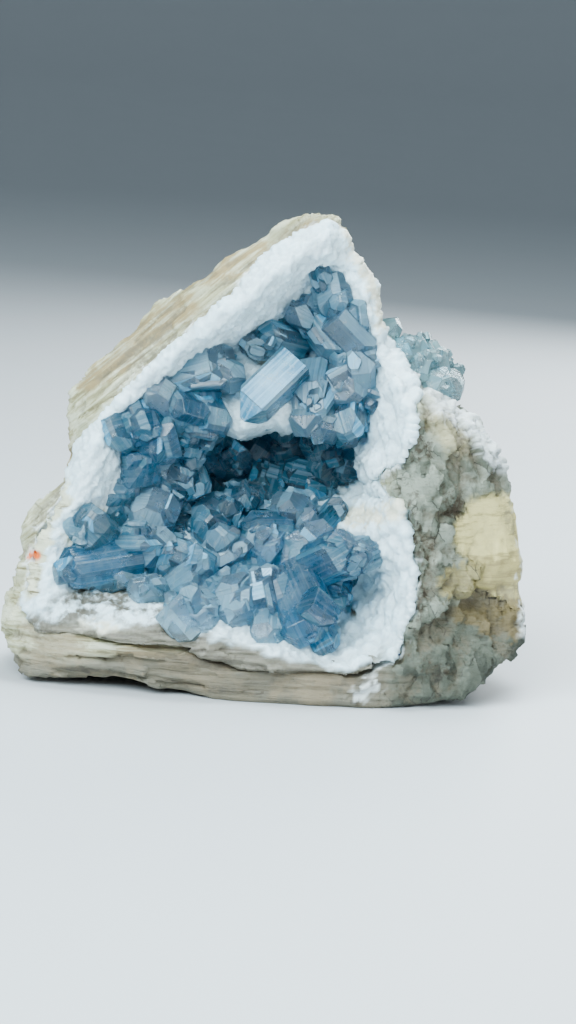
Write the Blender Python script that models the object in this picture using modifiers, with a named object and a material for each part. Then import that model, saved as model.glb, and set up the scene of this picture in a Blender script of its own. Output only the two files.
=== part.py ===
"""A broken piece of a celestite geode: fibrous matrix, a white druse lining its hollow, and blue crystals.

Run it with: blender --background --python part.py

The piece stands on a small flat spot, and the origin is the middle of that spot. The open hollow faces -Y,
+X is to the right as one looks into it, and +Z is up. Lengths are in metres; tables in millimetres say so.
"""

import math
import random

import bmesh
import bpy
import numpy as np
from mathutils import Matrix, Vector, noise

MM = 0.001

# Driving dimensions.
BACK_DEPTH = 23 * MM  # furthest reach of the outer rind behind the origin
BACK_LEAN = 7 * MM  # how much less the rind reaches back at the peak
EDGE_BACK = 2 * MM  # where the sides turn into the rind, behind the origin, at the peak
FOOT_BACK = 13 * MM  # how much further back they turn at the foot, which is thick enough to stand on
DOME_RUN = 24 * MM  # how far in from the silhouette the rind goes on rising
SIDE_DRAW = 0.16  # how far the sides draw in towards the back, as a share of the way to the middle
RIND_LUMP = 10 * MM  # rounded knobs of the outer rind
RIND_HEIGHT = 2.4 * MM
BREAK_SIZE = 7 * MM  # blocky steps of the broken stone
BREAK_HEIGHT = 1.1 * MM
BREAK_SHIFT = Vector((3.1, -3.1, 6.2))  # which part of the noise the break follows
DRUSE_THICKNESS = 3.4 * MM  # white lining, in the middle of the hollow
DRUSE_EDGE = 1.3 * MM  # white lining where it thins out at the rim
DRUSE_STAND = 0.5 * MM  # how far the white lining stands proud of the stone at its edge
DRUSE_SEAT = 1.2 * MM  # how much lower the stone lies under the lining
LUMP_SIZE = 3.6 * MM  # sugary knobs of the white lining
LUMP_HEIGHT = 1.2 * MM
CRUST_BASE = 1.5 * MM  # grown-together roots of the blue crystals
GAP = 0.35 * MM  # clearance between two solids that touch

SMALL_CRYSTALS = 20  # crystals that fill the crust between the large ones
SMALL_LENGTHS = (5, 8)  # millimetres
CRUST_SEED = 11
SIDE_SEED = 5

SLAB_HALF = 10 * MM  # a slab before it is given its two surfaces
ROCK_VOXEL = 1.5 * MM
DRUSE_VOXEL = 1.3 * MM
ROCK_TRIANGLES = 2700
DRUSE_TRIANGLES = 1550
BASE_TRIANGLES = 320
RELIEF_STEP = 4 * MM  # spacing of the points that the relief is interpolated from
ROCK_MIDDLE = np.array([-6, 0, 34]) * MM

# Silhouette of the matrix, looking into the hollow: (x, z) in millimetres, clockwise from the peak.
MATRIX_OUTLINE = [
    (-2, 81.5), (2.5, 80.5), (4, 76.5), (7, 72.5), (9, 68.5), (9.5, 65.5), (11, 61), (13.5, 58.5),
    (17.5, 56), (20.5, 52.5), (23.5, 50.5), (27, 47.5), (30.5, 43.5), (32, 39.5), (34.5, 31.5),
    (36.5, 24), (36.5, 17.5), (38.5, 12), (34.5, 7), (27.5, 1.5), (19, 0), (9, -1), (-0.5, -1),
    (-9, -0.8), (-19, 0.4), (-29.5, 2), (-41.5, 1), (-49.5, 1.5), (-52, 8.5), (-50.5, 16),
    (-48.5, 27.5), (-42.5, 34), (-43, 43), (-43, 49.5), (-36.5, 56), (-29, 64), (-20.5, 69.5),
    (-11.5, 76.5),
]

# Edge of the white lining on the matrix, the same way.
DRUSE_OUTLINE = [
    (0, 79.5), (3, 77.5), (5, 73), (8, 69.5), (8.8, 64.5), (10.2, 60.5), (13, 57.5), (16.5, 53.5),
    (16, 50.5), (16, 46), (14.5, 41.5), (9.5, 38.5), (11, 35.5), (15, 34), (16, 28.5), (18, 23.5),
    (17.5, 16.5), (15.5, 9.5), (9.5, 5.5), (-0.5, 6), (-11, 5.5), (-20, 8.5), (-30, 8.5),
    (-39, 9.5), (-45, 9.5), (-48, 13), (-47.5, 19.5), (-46, 25), (-43, 30.5), (-41.5, 35.5),
    (-40, 41.5), (-37.5, 43), (-33.5, 48), (-29, 53.5), (-22.5, 60), (-16, 66.5), (-11, 73),
    (-5, 77.5),
]

# Edge of the blue crust on the white lining, with the bare white ledge as a notch at the top left.
CRUST_OUTLINE = [
    (1, 71), (5, 69.5), (6, 65), (6.5, 60), (9.5, 56), (10.5, 50), (10, 43.5), (7.5, 39), (8.5, 34),
    (6, 31), (10, 27.5), (12.5, 25), (8, 21.5), (4, 17.5), (2.5, 10.5), (-3, 9.5), (-12, 12.5),
    (-20, 12), (-26, 15), (-31, 17), (-41, 18), (-42.5, 23.5), (-38.5, 28.5), (-32, 31),
    (-30.5, 36.5), (-35.5, 41.5), (-33, 45.5), (-26, 53), (-20.5, 57.5), (-14.5, 56.5),
    (-13.5, 51.5), (-20, 47.5), (-20.5, 42.5), (-8, 43.5), (2, 45), (1.5, 51), (-5, 55),
    (-10, 58.5), (-8.5, 62.5), (-4, 67),
]

# Relief of the front, as lines of points read off the piece: (x, z, y) in millimetres, -y towards the viewer.
RELIEF = {
    "rim upper left": [(-2, 81.5, -4), (-20.5, 69.5, -3), (-36.5, 56, -3), (-42.5, 50, -3), (-43, 43.5, -4),
                       (-42.5, 34.5, -7)],
    "rim left": [(-48.5, 28, -9), (-50.5, 16.5, -11), (-52, 9, -14), (-49.5, 2, -17)],
    "rim base": [(-49.5, 2, -17), (-41, 2.5, -20), (-29.5, 4, -22), (-17, 1, -23), (-0.5, 1, -23),
                 (15.5, 1, -22), (23.5, 0.5, -20)],
    "rim right": [(28.5, 2, -18), (34, 7.5, -15), (38, 12.5, -11), (36.5, 17.5, -9), (36, 24.5, -8),
                  (34.5, 32, -8), (31, 42.5, -9)],
    "right shoulder": [(29, 45, -9), (26, 47.5, -9), (22.5, 50, -9), (18.5, 52, -10), (15, 54, -10),
                       (12, 55.5, -8), (10.3, 60, -5)],
    "side pocket": [(12.5, 59.5, 0), (16, 57, 1), (19.5, 54, 1), (22.5, 52, 0)],
    "rim upper right": [(9, 65.5, -4), (9, 68.5, -4), (4, 76.5, -5), (1, 80, -5)],
    "snow crest": [(-0.5, 77, -9), (-6.5, 73.5, -11), (-12.5, 67.5, -12.5), (-18.5, 62, -12.5),
                   (-23, 57.5, -11), (-29, 51, -10), (-34.5, 45, -10), (-37.5, 40, -12.5),
                   (-39.5, 33, -13), (-42.5, 27.5, -12), (-44, 20.5, -13), (-44.5, 14.5, -17)],
    "snow foot": [(-1, 72, -3), (-6, 66, -1), (-10.5, 60.5, 0), (-13.5, 58, -1), (-22.5, 54.5, -4),
                  (-29, 48, -4), (-33.5, 42, -5)],
    "upper hollow": [(0.5, 68.5, 1), (-4, 63, 3), (4, 61, 2), (-2, 54.5, 2), (7.5, 54.5, 2), (9, 47.5, 2)],
    "right cheek": [(5.5, 71.5, -5), (7, 65.5, -6), (8, 60.5, -5)],
    "ledge back": [(-12, 54.5, -1), (-14.5, 49, -2), (-18, 46.5, -3)],
    "ledge lip": [(-19.5, 44, -5), (-13.5, 44.5, -6), (-8, 45, -7), (-3, 46.5, -6), (1, 46, -3),
                  (5.5, 45, 0)],
    "recess roof": [(-19.5, 40.5, 7), (-13.5, 40.5, 10), (-8, 41, 11), (-3, 41.5, 11), (1.5, 41.5, 9),
                    (6, 41, 7)],
    "recess floor": [(-19.5, 34, 9), (-13, 33.5, 13), (-6, 34, 14), (1, 35, 13), (6.5, 36.5, 9)],
    "recess front": [(-17, 30, 6), (-9.5, 29.5, 7), (-0.5, 30, 7), (6.5, 31.5, 5)],
    "left cheek": [(-27, 46, -3), (-30.5, 40.5, -4), (-24.5, 40, -2), (-33.5, 35.5, -6), (-26.5, 33, 0),
                   (-22, 38.5, 1)],
    "shelf back": [(-36.5, 27, -7), (-31.5, 26.5, -4), (-24.5, 27, 1), (-16, 26, 1), (-7, 27, 1),
                   (1.5, 28, 0), (8, 30, -4)],
    "shelf middle": [(-39.5, 20, -10), (-31, 20.5, -9), (-20.5, 20.5, -6), (-10.5, 21, -6), (0, 22, -6),
                     (6, 25, -8)],
    "shelf front": [(-37, 13.5, -16), (-28.5, 15, -15), (-18.5, 15.5, -14), (-9.5, 14, -14), (-3, 16, -12)],
    "shelf brink": [(-34.5, 12, -20), (-24.5, 12.5, -21), (-15, 11, -22), (-7.5, 9.5, -22), (-1, 8.5, -21),
                    (7.5, 8, -20), (13.5, 10, -19)],
    "spur": [(9.5, 39, -12), (12, 36, -13), (12, 32.5, -14), (6.5, 28, -10)],
    "spur drop": [(8, 38, 4), (9.5, 33, 2)],
    "white bowl": [(8, 18.5, -4), (7.5, 14, -4), (4, 10, -8), (11, 15, -5), (11.5, 20, -6), (10, 11.5, -9)],
    "right crest": [(13.5, 54, -12), (14.5, 48, -14), (13.5, 42, -14), (15.5, 36, -16), (16.5, 28.5, -17),
                    (17, 21.5, -18), (16, 15, -19)],
    "right inner wall": [(11, 50.5, -7), (10.5, 45, -5), (11, 41, -8)],
    "right block": [(18.5, 50, -14), (20.5, 43.5, -15), (21, 35.5, -17), (21, 27, -18), (21.5, 20, -18),
                    (20, 15.5, -20), (19.5, 9, -22), (13, 5, -22)],
    "right flank": [(26, 43.5, -12), (26.5, 37, -13), (26, 30, -14), (26, 23, -14), (30, 31.5, -11),
                    (31.5, 23, -11), (33, 17.5, -10)],
    "notch under band": [(25, 17.5, -13), (28.5, 15.5, -11), (31.5, 13, -11), (26, 11.5, -16), (25, 5, -19),
                         (31.5, 9, -15)],
    "base face": [(-41.5, 6.5, -20), (-29.5, 8, -22.5), (-17.5, 5, -23), (-0.5, 4.5, -23), (13, 3.5, -22.5)],
}

# The crystals one can name from a step away. Each row: (x, z) of its middle in millimetres, how far its
# middle stands in front of the lining, long axis, flat-face normal, then length, width and thickness in
# millimetres. Axes are (right, back, up) directions.
LARGE_CRYSTALS = [
    # upper left mass
    ((-20.5, 54), 2.5, (0.9, -0.25, 0.35), (-0.25, -0.9, 0.35), (13, 8, 7)),
    ((-27.5, 49), 2, (0.5, -0.8, 0.3), (-0.6, -0.5, 0.6), (9, 8, 7)),
    ((-23.5, 46.5), 3, (0.3, -0.9, -0.2), (-0.2, -0.2, 0.95), (9, 7, 6)),
    ((-31, 44), 2.5, (-0.3, -0.9, 0.2), (0.8, -0.3, 0.5), (10, 9, 8)),
    ((-20.5, 48.5), 2.5, (0.5, -0.8, -0.3), (0.2, -0.3, 0.9), (8, 7, 5)),
    ((-28, 40.5), 2.5, (0.1, -0.9, -0.4), (0.9, 0.1, 0.3), (10, 9, 8)),
    ((-22.5, 41), 3, (0.4, -0.85, -0.3), (0.3, -0.2, 0.9), (9, 8, 6)),
    ((-24, 36), 3, (0.3, -0.9, -0.4), (-0.3, -0.5, 0.8), (9, 8, 7)),
    ((-30, 36), 2, (0.4, -0.9, 0.1), (-0.1, -0.1, 1), (8, 7, 6)),
    # the tall pale prism on the white ledge
    ((-7.2, 50.2), 5.2, (-0.66, -0.32, -0.68), (-0.12, -0.88, 0.45), (17, 8.2, 7)),
    # upper right cluster
    ((1.5, 67.5), 2, (-0.1, -0.9, 0.4), (0.9, -0.1, 0.3), (9, 8, 6)),
    ((-2.5, 64), 2, (-0.4, -0.8, 0.4), (0.3, 0.3, 0.9), (8, 7, 6)),
    ((4.5, 63.5), 2, (-0.2, -0.95, 0.1), (0.9, -0.2, 0.2), (8, 7, 7)),
    ((-8, 59), 3, (-0.7, -0.6, 0.2), (-0.1, -0.5, 0.85), (9, 7, 6)),
    ((1.5, 57.5), 4.5, (0.5, -0.7, -0.5), (0.45, -0.75, 0.5), (11, 8, 7)),
    ((6, 57.5), 3, (0.3, -0.9, -0.2), (-0.2, -0.2, 0.95), (9, 8, 7)),
    ((3.5, 52.5), 4, (0.1, -0.9, -0.4), (0.8, -0.1, 0.5), (10, 8, 7)),
    ((-1.5, 51.5), 4, (-0.1, -0.8, -0.6), (0.9, -0.2, 0.2), (9, 6, 6)),
    ((8, 51), 3, (-0.2, -0.9, -0.3), (0.2, -0.3, 0.9), (9, 8, 6)),
    ((5, 47), 3, (-0.1, -0.85, -0.5), (0.9, 0, 0.3), (9, 8, 7)),
    # dark recess
    ((-17, 38.5), 2.5, (0.2, -0.9, -0.3), (0.8, -0.1, 0.6), (10, 8, 7)),
    ((-11, 37), 2.5, (0.1, -0.95, 0.1), (0.5, 0, 0.85), (10, 9, 8)),
    ((-4.5, 39), 2.5, (-0.2, -0.9, -0.2), (0.9, -0.2, 0.3), (11, 9, 7)),
    ((2, 40.5), 3, (-0.1, -0.9, -0.3), (0.8, 0.1, 0.5), (11, 9, 8)),
    ((-8, 32.5), 2.5, (0.1, -0.9, 0.5), (0.9, 0, -0.2), (10, 8, 7)),
    ((0.5, 33.5), 3, (-0.3, -0.85, 0.4), (0.9, -0.2, 0.3), (11, 9, 8)),
    ((6.5, 37.5), 2.5, (-0.4, -0.9, 0.1), (0.2, -0.2, 0.95), (9, 7, 6)),
    # shelf, left to right
    ((-37.5, 25.5), 3, (-0.4, -0.7, 0.6), (-0.6, -0.3, -0.75), (10, 8, 7)),
    ((-36, 20.5), 4, (-0.93, -0.35, -0.15), (0, -0.5, 0.87), (14, 8, 6)),
    ((-30, 23), 3.5, (0.1, -0.75, 0.65), (0.95, -0.1, 0.2), (8, 7, 6)),
    ((-27.5, 27.5), 2.5, (0.2, -0.8, 0.6), (0.9, 0, -0.3), (11, 10, 8)),
    ((-24, 21.5), 3.5, (0.2, -0.5, 0.85), (0.3, -0.8, -0.5), (8, 8, 5)),
    ((-27.5, 16.5), 2, (-0.2, -0.7, 0.7), (0.1, -0.7, -0.7), (7, 6, 5)),
    ((-20, 19.5), 3.5, (0.6, -0.6, 0.5), (0.1, -0.7, 0.7), (10, 8, 6)),
    ((-17, 26.5), 3, (0, -0.7, 0.7), (0.7, -0.5, -0.5), (10, 9, 7)),
    ((-12.5, 29), 2.5, (0.2, -0.6, 0.8), (0.9, 0.2, -0.3), (9, 8, 7)),
    ((-14.5, 22), 4, (-0.2, -0.8, 0.5), (0.5, -0.4, -0.75), (9, 8, 6)),
    ((-18.5, 14.5), 2.5, (-0.3, -0.9, 0.1), (0.3, 0, 0.95), (8, 7, 6)),
    ((-12.5, 16), 3, (0.2, -0.9, 0.3), (0.9, 0.3, 0.2), (9, 8, 7)),
    ((-8.5, 24), 4, (0.3, -0.6, 0.75), (0.8, -0.2, -0.5), (10, 8, 6)),
    ((-3.5, 27.5), 3.5, (0.1, -0.6, 0.8), (0.9, 0.1, -0.2), (11, 9, 8)),
    ((-1.5, 23.5), 4, (0.4, -0.8, 0.3), (0.3, -0.3, 0.9), (9, 8, 7)),
    ((3.5, 29), 2.5, (0.5, -0.5, 0.7), (-0.5, -0.8, 0.2), (8, 5, 4)),
    ((-6, 17), 3, (-0.1, -0.9, 0.3), (0.8, -0.3, 0.5), (9, 8, 7)),
    ((3.5, 23), 3.5, (0.7, -0.6, 0.3), (-0.2, -0.6, 0.75), (12, 8, 7)),
    ((8.5, 24.5), 3, (0.6, -0.75, 0.2), (-0.1, -0.3, 0.95), (8, 7, 6)),
    ((-1, 15), 4.5, (0.35, -0.75, -0.55), (-0.3, -0.75, 0.6), (15, 11, 9)),
    ((3, 17), 2.5, (0.7, -0.6, -0.4), (0.4, -0.1, 0.9), (9, 8, 6)),
    ((-6.5, 12), 1.5, (0, -0.8, -0.5), (0.9, 0, 0.3), (7, 6, 5)),
]

# The pale crystals of the small pocket behind the right shoulder: middle (x, y, z) in millimetres, long axis,
# flat-face normal, then length, width and thickness in millimetres.
SIDE_CRYSTALS = [
    ((11.5, 1, 61), (0.2, -0.7, 0.7), (0.9, 0, 0.4), (7, 4, 3)),
    ((14.5, 0, 57.5), (0.1, -0.9, 0.4), (0.9, 0.2, 0.3), (7, 6, 5)),
    ((16, 3, 57.5), (0.3, -0.2, 0.9), (0.9, 0.2, -0.3), (7, 6, 5)),
    ((17, -2, 55), (0.2, -0.9, 0.5), (0.2, 0.5, 0.8), (7, 6, 5)),
    ((19, 2, 55.5), (0.55, -0.2, 0.8), (0.7, 0.3, -0.6), (8, 6, 5)),
    ((20, -2.5, 53), (0.5, -0.8, 0.4), (-0.4, 0.2, 0.9), (7, 6, 5)),
    ((21.5, 1, 52), (0.8, -0.3, 0.5), (0.4, 0.2, -0.9), (7, 6, 5)),
    ((20.5, 6, 52.5), (0.6, 0.4, 0.7), (0.8, -0.2, -0.5), (8, 7, 6)),
    ((15.5, 7, 56), (0.2, 0.5, 0.85), (0.9, 0.1, -0.3), (8, 7, 6)),
]
SIDE_ROOT = ((14.5, 2.5, 55.5), (20, 2, 50.5))  # ends of the crystals' shared root, in millimetres
SIDE_ROOT_RADIUS = 4 * MM
SIDE_ROOT_REACH = 6.5 * MM  # half its length


def start_scene():
    for obj in list(bpy.data.objects):
        bpy.data.objects.remove(obj)


def new_collection(name, hidden=False):
    made = bpy.data.collections.new(name)
    made.hide_render = hidden
    bpy.context.scene.collection.children.link(made)
    return made


def material(name, colour, roughness, transmission=0.0):
    made = bpy.data.materials.new(name)
    made.use_nodes = True
    shader = made.node_tree.nodes["Principled BSDF"]
    shader.inputs["Base Color"].default_value = (*colour, 1.0)
    shader.inputs["Roughness"].default_value = roughness
    shader.inputs["Metallic"].default_value = 0.0
    shader.inputs["Transmission Weight"].default_value = transmission
    return made


def evaluated_mesh(obj):
    """A new mesh of the object with its modifiers applied."""
    graph = bpy.context.evaluated_depsgraph_get()
    graph.update()
    return bpy.data.meshes.new_from_object(obj.evaluated_get(graph))


def apply_modifiers(obj):
    """The object's mesh replaced by the evaluated one. Returns the object, as a mesh object."""
    mesh = evaluated_mesh(obj)
    if obj.type == "MESH":
        obj.modifiers.clear()
        obj.data = mesh
        return obj
    made = bpy.data.objects.new(obj.name, mesh)
    obj.users_collection[0].objects.link(made)
    made.matrix_world = obj.matrix_world
    name = obj.name
    bpy.data.objects.remove(obj)
    made.name = name
    return made


def flat_slab(name, outline, collection, voxel):
    """A closed, evenly meshed slab with this outline in XZ, from y = -SLAB_HALF to y = SLAB_HALF."""
    curve = bpy.data.curves.new(name, "CURVE")
    curve.dimensions = "2D"
    curve.fill_mode = "BOTH"
    curve.extrude = SLAB_HALF
    spline = curve.splines.new("POLY")
    spline.points.add(len(outline) - 1)
    for point, (x, z) in zip(spline.points, outline):
        point.co = (x * MM, z * MM, 0, 1)
    spline.use_cyclic_u = True
    obj = bpy.data.objects.new(name, curve)
    obj.rotation_euler = (math.radians(90), 0, 0)
    collection.objects.link(obj)
    bpy.context.view_layer.update()
    obj = apply_modifiers(obj)
    obj.data.transform(obj.matrix_world)
    obj.matrix_world = Matrix.Identity(4)
    weld = obj.modifiers.new("weld", "WELD")
    weld.merge_threshold = 0.0001
    remesh = obj.modifiers.new("remesh", "REMESH")
    remesh.mode = "VOXEL"
    remesh.voxel_size = voxel
    return apply_modifiers(obj)


def points_of(mesh):
    flat = np.empty(len(mesh.vertices) * 3)
    mesh.vertices.foreach_get("co", flat)
    return flat.reshape(-1, 3)


def set_points(mesh, points):
    mesh.vertices.foreach_set("co", points.astype(np.float32).ravel())
    mesh.update()


def along(line, spacing):
    """Points along a line of (x, z, y) rows, no further apart than spacing, in metres."""
    rows = np.array(line, float) * MM
    found = [rows[:1]]
    for a, b in zip(rows, rows[1:]):
        count = max(1, math.ceil(np.linalg.norm((b - a)[:2]) / spacing))
        shares = np.arange(1, count + 1)[:, None] / count
        found.append(a + (b - a) * shares)
    return np.concatenate(found)


class Relief:
    """The depth y of the front at any (x, z), interpolated between the lines of RELIEF."""

    def __init__(self):
        samples = np.concatenate([along(line, RELIEF_STEP) for line in RELIEF.values()])
        _, first = np.unique(np.round(samples[:, :2] / MM), axis=0, return_index=True)
        self.samples = samples[first]
        xz = self.samples[:, :2]
        distances = np.linalg.norm(xz[:, None] - xz[None], axis=2)
        self.weights = np.linalg.solve(distances, self.samples[:, 2])

    def __call__(self, xz):
        distances = np.linalg.norm(xz[:, None] - self.samples[None, :, :2], axis=2)
        return distances @ self.weights


def edge_distance(xz, outline):
    """Distance of each point to a closed outline in millimetres, in metres."""
    corners = np.array(outline, float) * MM
    nearest = np.full(len(xz), np.inf)
    for a, b in zip(corners, np.roll(corners, -1, axis=0)):
        side = b - a
        share = np.clip(((xz - a) @ side) / (side @ side), 0, 1)
        nearest = np.minimum(nearest, np.linalg.norm(xz - a - share[:, None] * side, axis=1))
    return nearest


def inside_outline(xz, outline):
    """1 for a point inside a closed outline in millimetres, else 0."""
    corners = np.array(outline, float) * MM
    odd = np.zeros(len(xz), bool)
    for (x1, z1), (x2, z2) in zip(corners, np.roll(corners, -1, axis=0)):
        crosses = (z1 > xz[:, 1]) != (z2 > xz[:, 1])
        slope = (x2 - x1) / (z2 - z1) if z2 != z1 else 0.0
        odd ^= crosses & (xz[:, 0] < x1 + slope * (xz[:, 1] - z1))
    return odd.astype(float)


def smooth(value):
    value = np.clip(value, 0, 1)
    return value * value * (3 - 2 * value)


def shape_slab(obj, front, back):
    """Moves a flat slab's points between two surfaces y = front(xz) and y = back(xz).

    Returns how far back in the slab each point lies, from 0 to 1.
    """
    points = points_of(obj.data)
    xz = points[:, [0, 2]]
    share = np.clip((points[:, 1] + SLAB_HALF) / (2 * SLAB_HALF), 0, 1)
    near, far = front(xz), back(xz)
    points[:, 1] = near + (far - near) * share
    set_points(obj.data, points)
    return share


def decimate(obj, triangles):
    obj.data.calc_loop_triangles()
    reducer = obj.modifiers.new("fewer faces", "DECIMATE")
    reducer.ratio = min(1.0, triangles / len(obj.data.loop_triangles))
    reducer.use_collapse_triangulate = True
    return apply_modifiers(obj)


def break_up(obj):
    """Breaks a surface up with blocky steps, as a fractured stone has."""
    for vertex in obj.data.vertices:
        at = vertex.co / BREAK_SIZE + BREAK_SHIFT
        nearest, second = noise.voronoi(at)[0][:2]
        step = second - nearest - 0.35
        vertex.co += vertex.normal * BREAK_HEIGHT * (0.6 * step + 0.7 * noise.noise(at * 0.7))
    obj.data.update()


def swell_lumps(obj, share):
    """Rounded knobs on the rind, which grow from the sides towards the back."""
    for vertex, back in zip(obj.data.vertices, share):
        nearest = noise.voronoi(vertex.co / RIND_LUMP)[0][0]
        vertex.co += vertex.normal * RIND_HEIGHT * smooth(back) * (0.55 - nearest)
    obj.data.update()


def boolean(obj, other, operation):
    """The two solids cut or joined. A swollen copy may cross itself a little, which use_self allows."""
    cut = obj.modifiers.new(operation.lower(), "BOOLEAN")
    cut.operation = operation
    cut.solver = "EXACT"
    cut.use_self = True
    cut.object = other
    return apply_modifiers(obj)


def grown(obj, name, distance, collection):
    """A copy of the object, swollen along its normals."""
    made = bpy.data.objects.new(name, obj.data.copy())
    collection.objects.link(made)
    swell = made.modifiers.new("swell", "DISPLACE")
    swell.strength = distance
    swell.mid_level = 0.0
    return apply_modifiers(made)


def keep_largest_shell(obj):
    """Deletes every loose shell but the largest, such as a void left between crystals."""
    bm = bmesh.new()
    bm.from_mesh(obj.data)
    shells = []
    waiting = set(bm.faces)
    while waiting:
        shell, edge = set(), [waiting.pop()]
        while edge:
            face = edge.pop()
            shell.add(face)
            for side in face.edges:
                for other in side.link_faces:
                    if other in waiting:
                        waiting.discard(other)
                        edge.append(other)
        shells.append(shell)
    largest = max(shells, key=len)
    loose = [face for shell in shells if shell is not largest for face in shell]
    bmesh.ops.delete(bm, geom=loose, context="FACES")
    bm.to_mesh(obj.data)
    bm.free()


def add_crystal(bm, frame, size, rng):
    """One crystal: a bar along local X from -size[0]/2 to size[0]/2, bevelled by prism and dome faces."""
    length, width, thickness = (side * MM for side in size)
    one = bmesh.new()
    bmesh.ops.create_cube(one, size=1.0)
    bmesh.ops.scale(one, vec=(length, width, thickness), verts=one.verts)
    planes = []
    for side in (-1, 1):
        for tilt in (-1, 1):
            lean = math.radians(rng.uniform(36, 50))
            normal = Vector((0, side * math.sin(lean), tilt * math.cos(lean)))
            reach = 0.5 * (width * abs(normal.y) + thickness * abs(normal.z))
            planes.append((normal, reach * rng.uniform(0.72, 0.9)))
    for side in (-1, 1):
        lean = math.radians(rng.uniform(34, 42))
        normal = Vector((math.sin(lean), side * math.cos(lean), 0))
        reach = 0.5 * (length * normal.x + width * abs(normal.y))
        planes.append((normal, reach * rng.uniform(0.74, 0.84)))
        lean = math.radians(rng.uniform(44, 54))
        normal = Vector((math.sin(lean), 0, side * math.cos(lean)))
        reach = 0.5 * (length * normal.x + thickness * abs(normal.z))
        planes.append((normal, reach * rng.uniform(0.78, 0.92)))
    for normal, reach in planes:
        geometry = one.verts[:] + one.edges[:] + one.faces[:]
        bmesh.ops.bisect_plane(one, geom=geometry, dist=1e-7, plane_co=normal * reach, plane_no=normal,
                               clear_outer=True)
        rim = [edge for edge in one.edges if edge.is_boundary]
        if rim:
            bmesh.ops.contextual_create(one, geom=rim)
    bmesh.ops.remove_doubles(one, verts=one.verts, dist=0.02 * MM)
    bmesh.ops.recalc_face_normals(one, faces=one.faces)
    one.transform(frame)
    mesh = bpy.data.meshes.new("one crystal")
    one.to_mesh(mesh)
    one.free()
    bm.from_mesh(mesh)
    bpy.data.meshes.remove(mesh)


def crystal_frame(at, axis, face):
    """Where a crystal stands: local X along axis, local Z near the flat face's normal."""
    x = Vector(axis).normalized()
    z = Vector(face)
    z = (z - x * z.dot(x)).normalized()
    y = z.cross(x)
    turn = Matrix((x, y, z)).transposed().to_4x4()
    return Matrix.Translation(at) @ turn


def large_crystals(relief, rng):
    bm = bmesh.new()
    for (x, z), stand, axis, face, size in LARGE_CRYSTALS:
        spot = np.array([[x, z]]) * MM
        y = relief(spot)[0] - stand * MM
        add_crystal(bm, crystal_frame(Vector((x * MM, y, z * MM)), axis, face), size, rng)
    return bm


def object_from(bm, name, collection):
    mesh = bpy.data.meshes.new(name)
    bm.to_mesh(mesh)
    bm.free()
    made = bpy.data.objects.new(name, mesh)
    collection.objects.link(made)
    return made


def build_matrix(relief, collection):
    """The host stone: the front follows the relief, the back is the rounded outer rind."""

    def back(xz):
        depth = edge_distance(xz, MATRIX_OUTLINE)
        dome = np.sqrt(1 - (1 - np.clip(depth / DOME_RUN, 0, 1)) ** 2)
        edge = EDGE_BACK + FOOT_BACK * smooth(1 - xz[:, 1] / (34 * MM))
        reach = BACK_DEPTH - BACK_LEAN * smooth((xz[:, 1] - 30 * MM) / (50 * MM))
        return edge + (reach - edge) * dome

    def front(xz):
        # Under the lining the stone lies a little lower, so that the lining stands proud of it.
        inside = smooth(edge_distance(xz, DRUSE_OUTLINE) / (4 * MM)) * inside_outline(xz, DRUSE_OUTLINE)
        return relief(xz) + DRUSE_SEAT * inside

    obj = flat_slab("matrix", MATRIX_OUTLINE, collection, ROCK_VOXEL)
    share = shape_slab(obj, front, back)
    points = points_of(obj.data)
    # The sides draw in towards the back, more at the top than at the foot.
    inward = ROCK_MIDDLE - points
    inward[:, 1] = 0
    draw = SIDE_DRAW * smooth((share - 0.35) / 0.65)
    high = smooth(points[:, 2] / (30 * MM))
    points[:, 0] += inward[:, 0] * draw * (0.4 + 0.6 * high)
    points[:, 2] += inward[:, 2] * draw * high
    set_points(obj.data, points)
    swell_lumps(obj, share)
    break_up(obj)
    return obj


def flat_foot(obj):
    """Cuts the stone level where it stands, which leaves one small flat spot."""
    bm = bmesh.new()
    bm.from_mesh(obj.data)
    geometry = bm.verts[:] + bm.edges[:] + bm.faces[:]
    bmesh.ops.bisect_plane(bm, geom=geometry, dist=1e-6, plane_co=(0, 0, 0), plane_no=(0, 0, 1),
                           clear_inner=True)
    rim = [edge for edge in bm.edges if edge.is_boundary]
    bmesh.ops.triangle_fill(bm, edges=rim, use_beauty=True)
    bmesh.ops.recalc_face_normals(bm, faces=bm.faces)
    bm.to_mesh(obj.data)
    bm.free()


def build_druse(relief, collection):
    """The white lining: a lumpy skin whose back lies in the stone."""

    def front(xz):
        lumps = [noise.voronoi(Vector((x, 0, z)) / LUMP_SIZE)[0][0] for x, z in xz]
        return relief(xz) - DRUSE_STAND - LUMP_HEIGHT * (0.7 - np.clip(lumps, 0, 1))

    def back(xz):
        depth = smooth(edge_distance(xz, DRUSE_OUTLINE) / (6 * MM))
        return relief(xz) + DRUSE_EDGE + (DRUSE_THICKNESS - DRUSE_EDGE) * depth

    obj = flat_slab("white_druse", DRUSE_OUTLINE, collection, DRUSE_VOXEL)
    shape_slab(obj, front, back)
    return obj


def build_crust_base(relief, collection):
    """The roots of the blue crystals, grown together. The lining trims their back."""

    def front(xz):
        return relief(xz) - DRUSE_STAND - CRUST_BASE

    def back(xz):
        return relief(xz) + 1 * MM

    obj = flat_slab("crust base", CRUST_OUTLINE, collection, DRUSE_VOXEL)
    shape_slab(obj, front, back)
    return decimate(obj, BASE_TRIANGLES)


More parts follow.
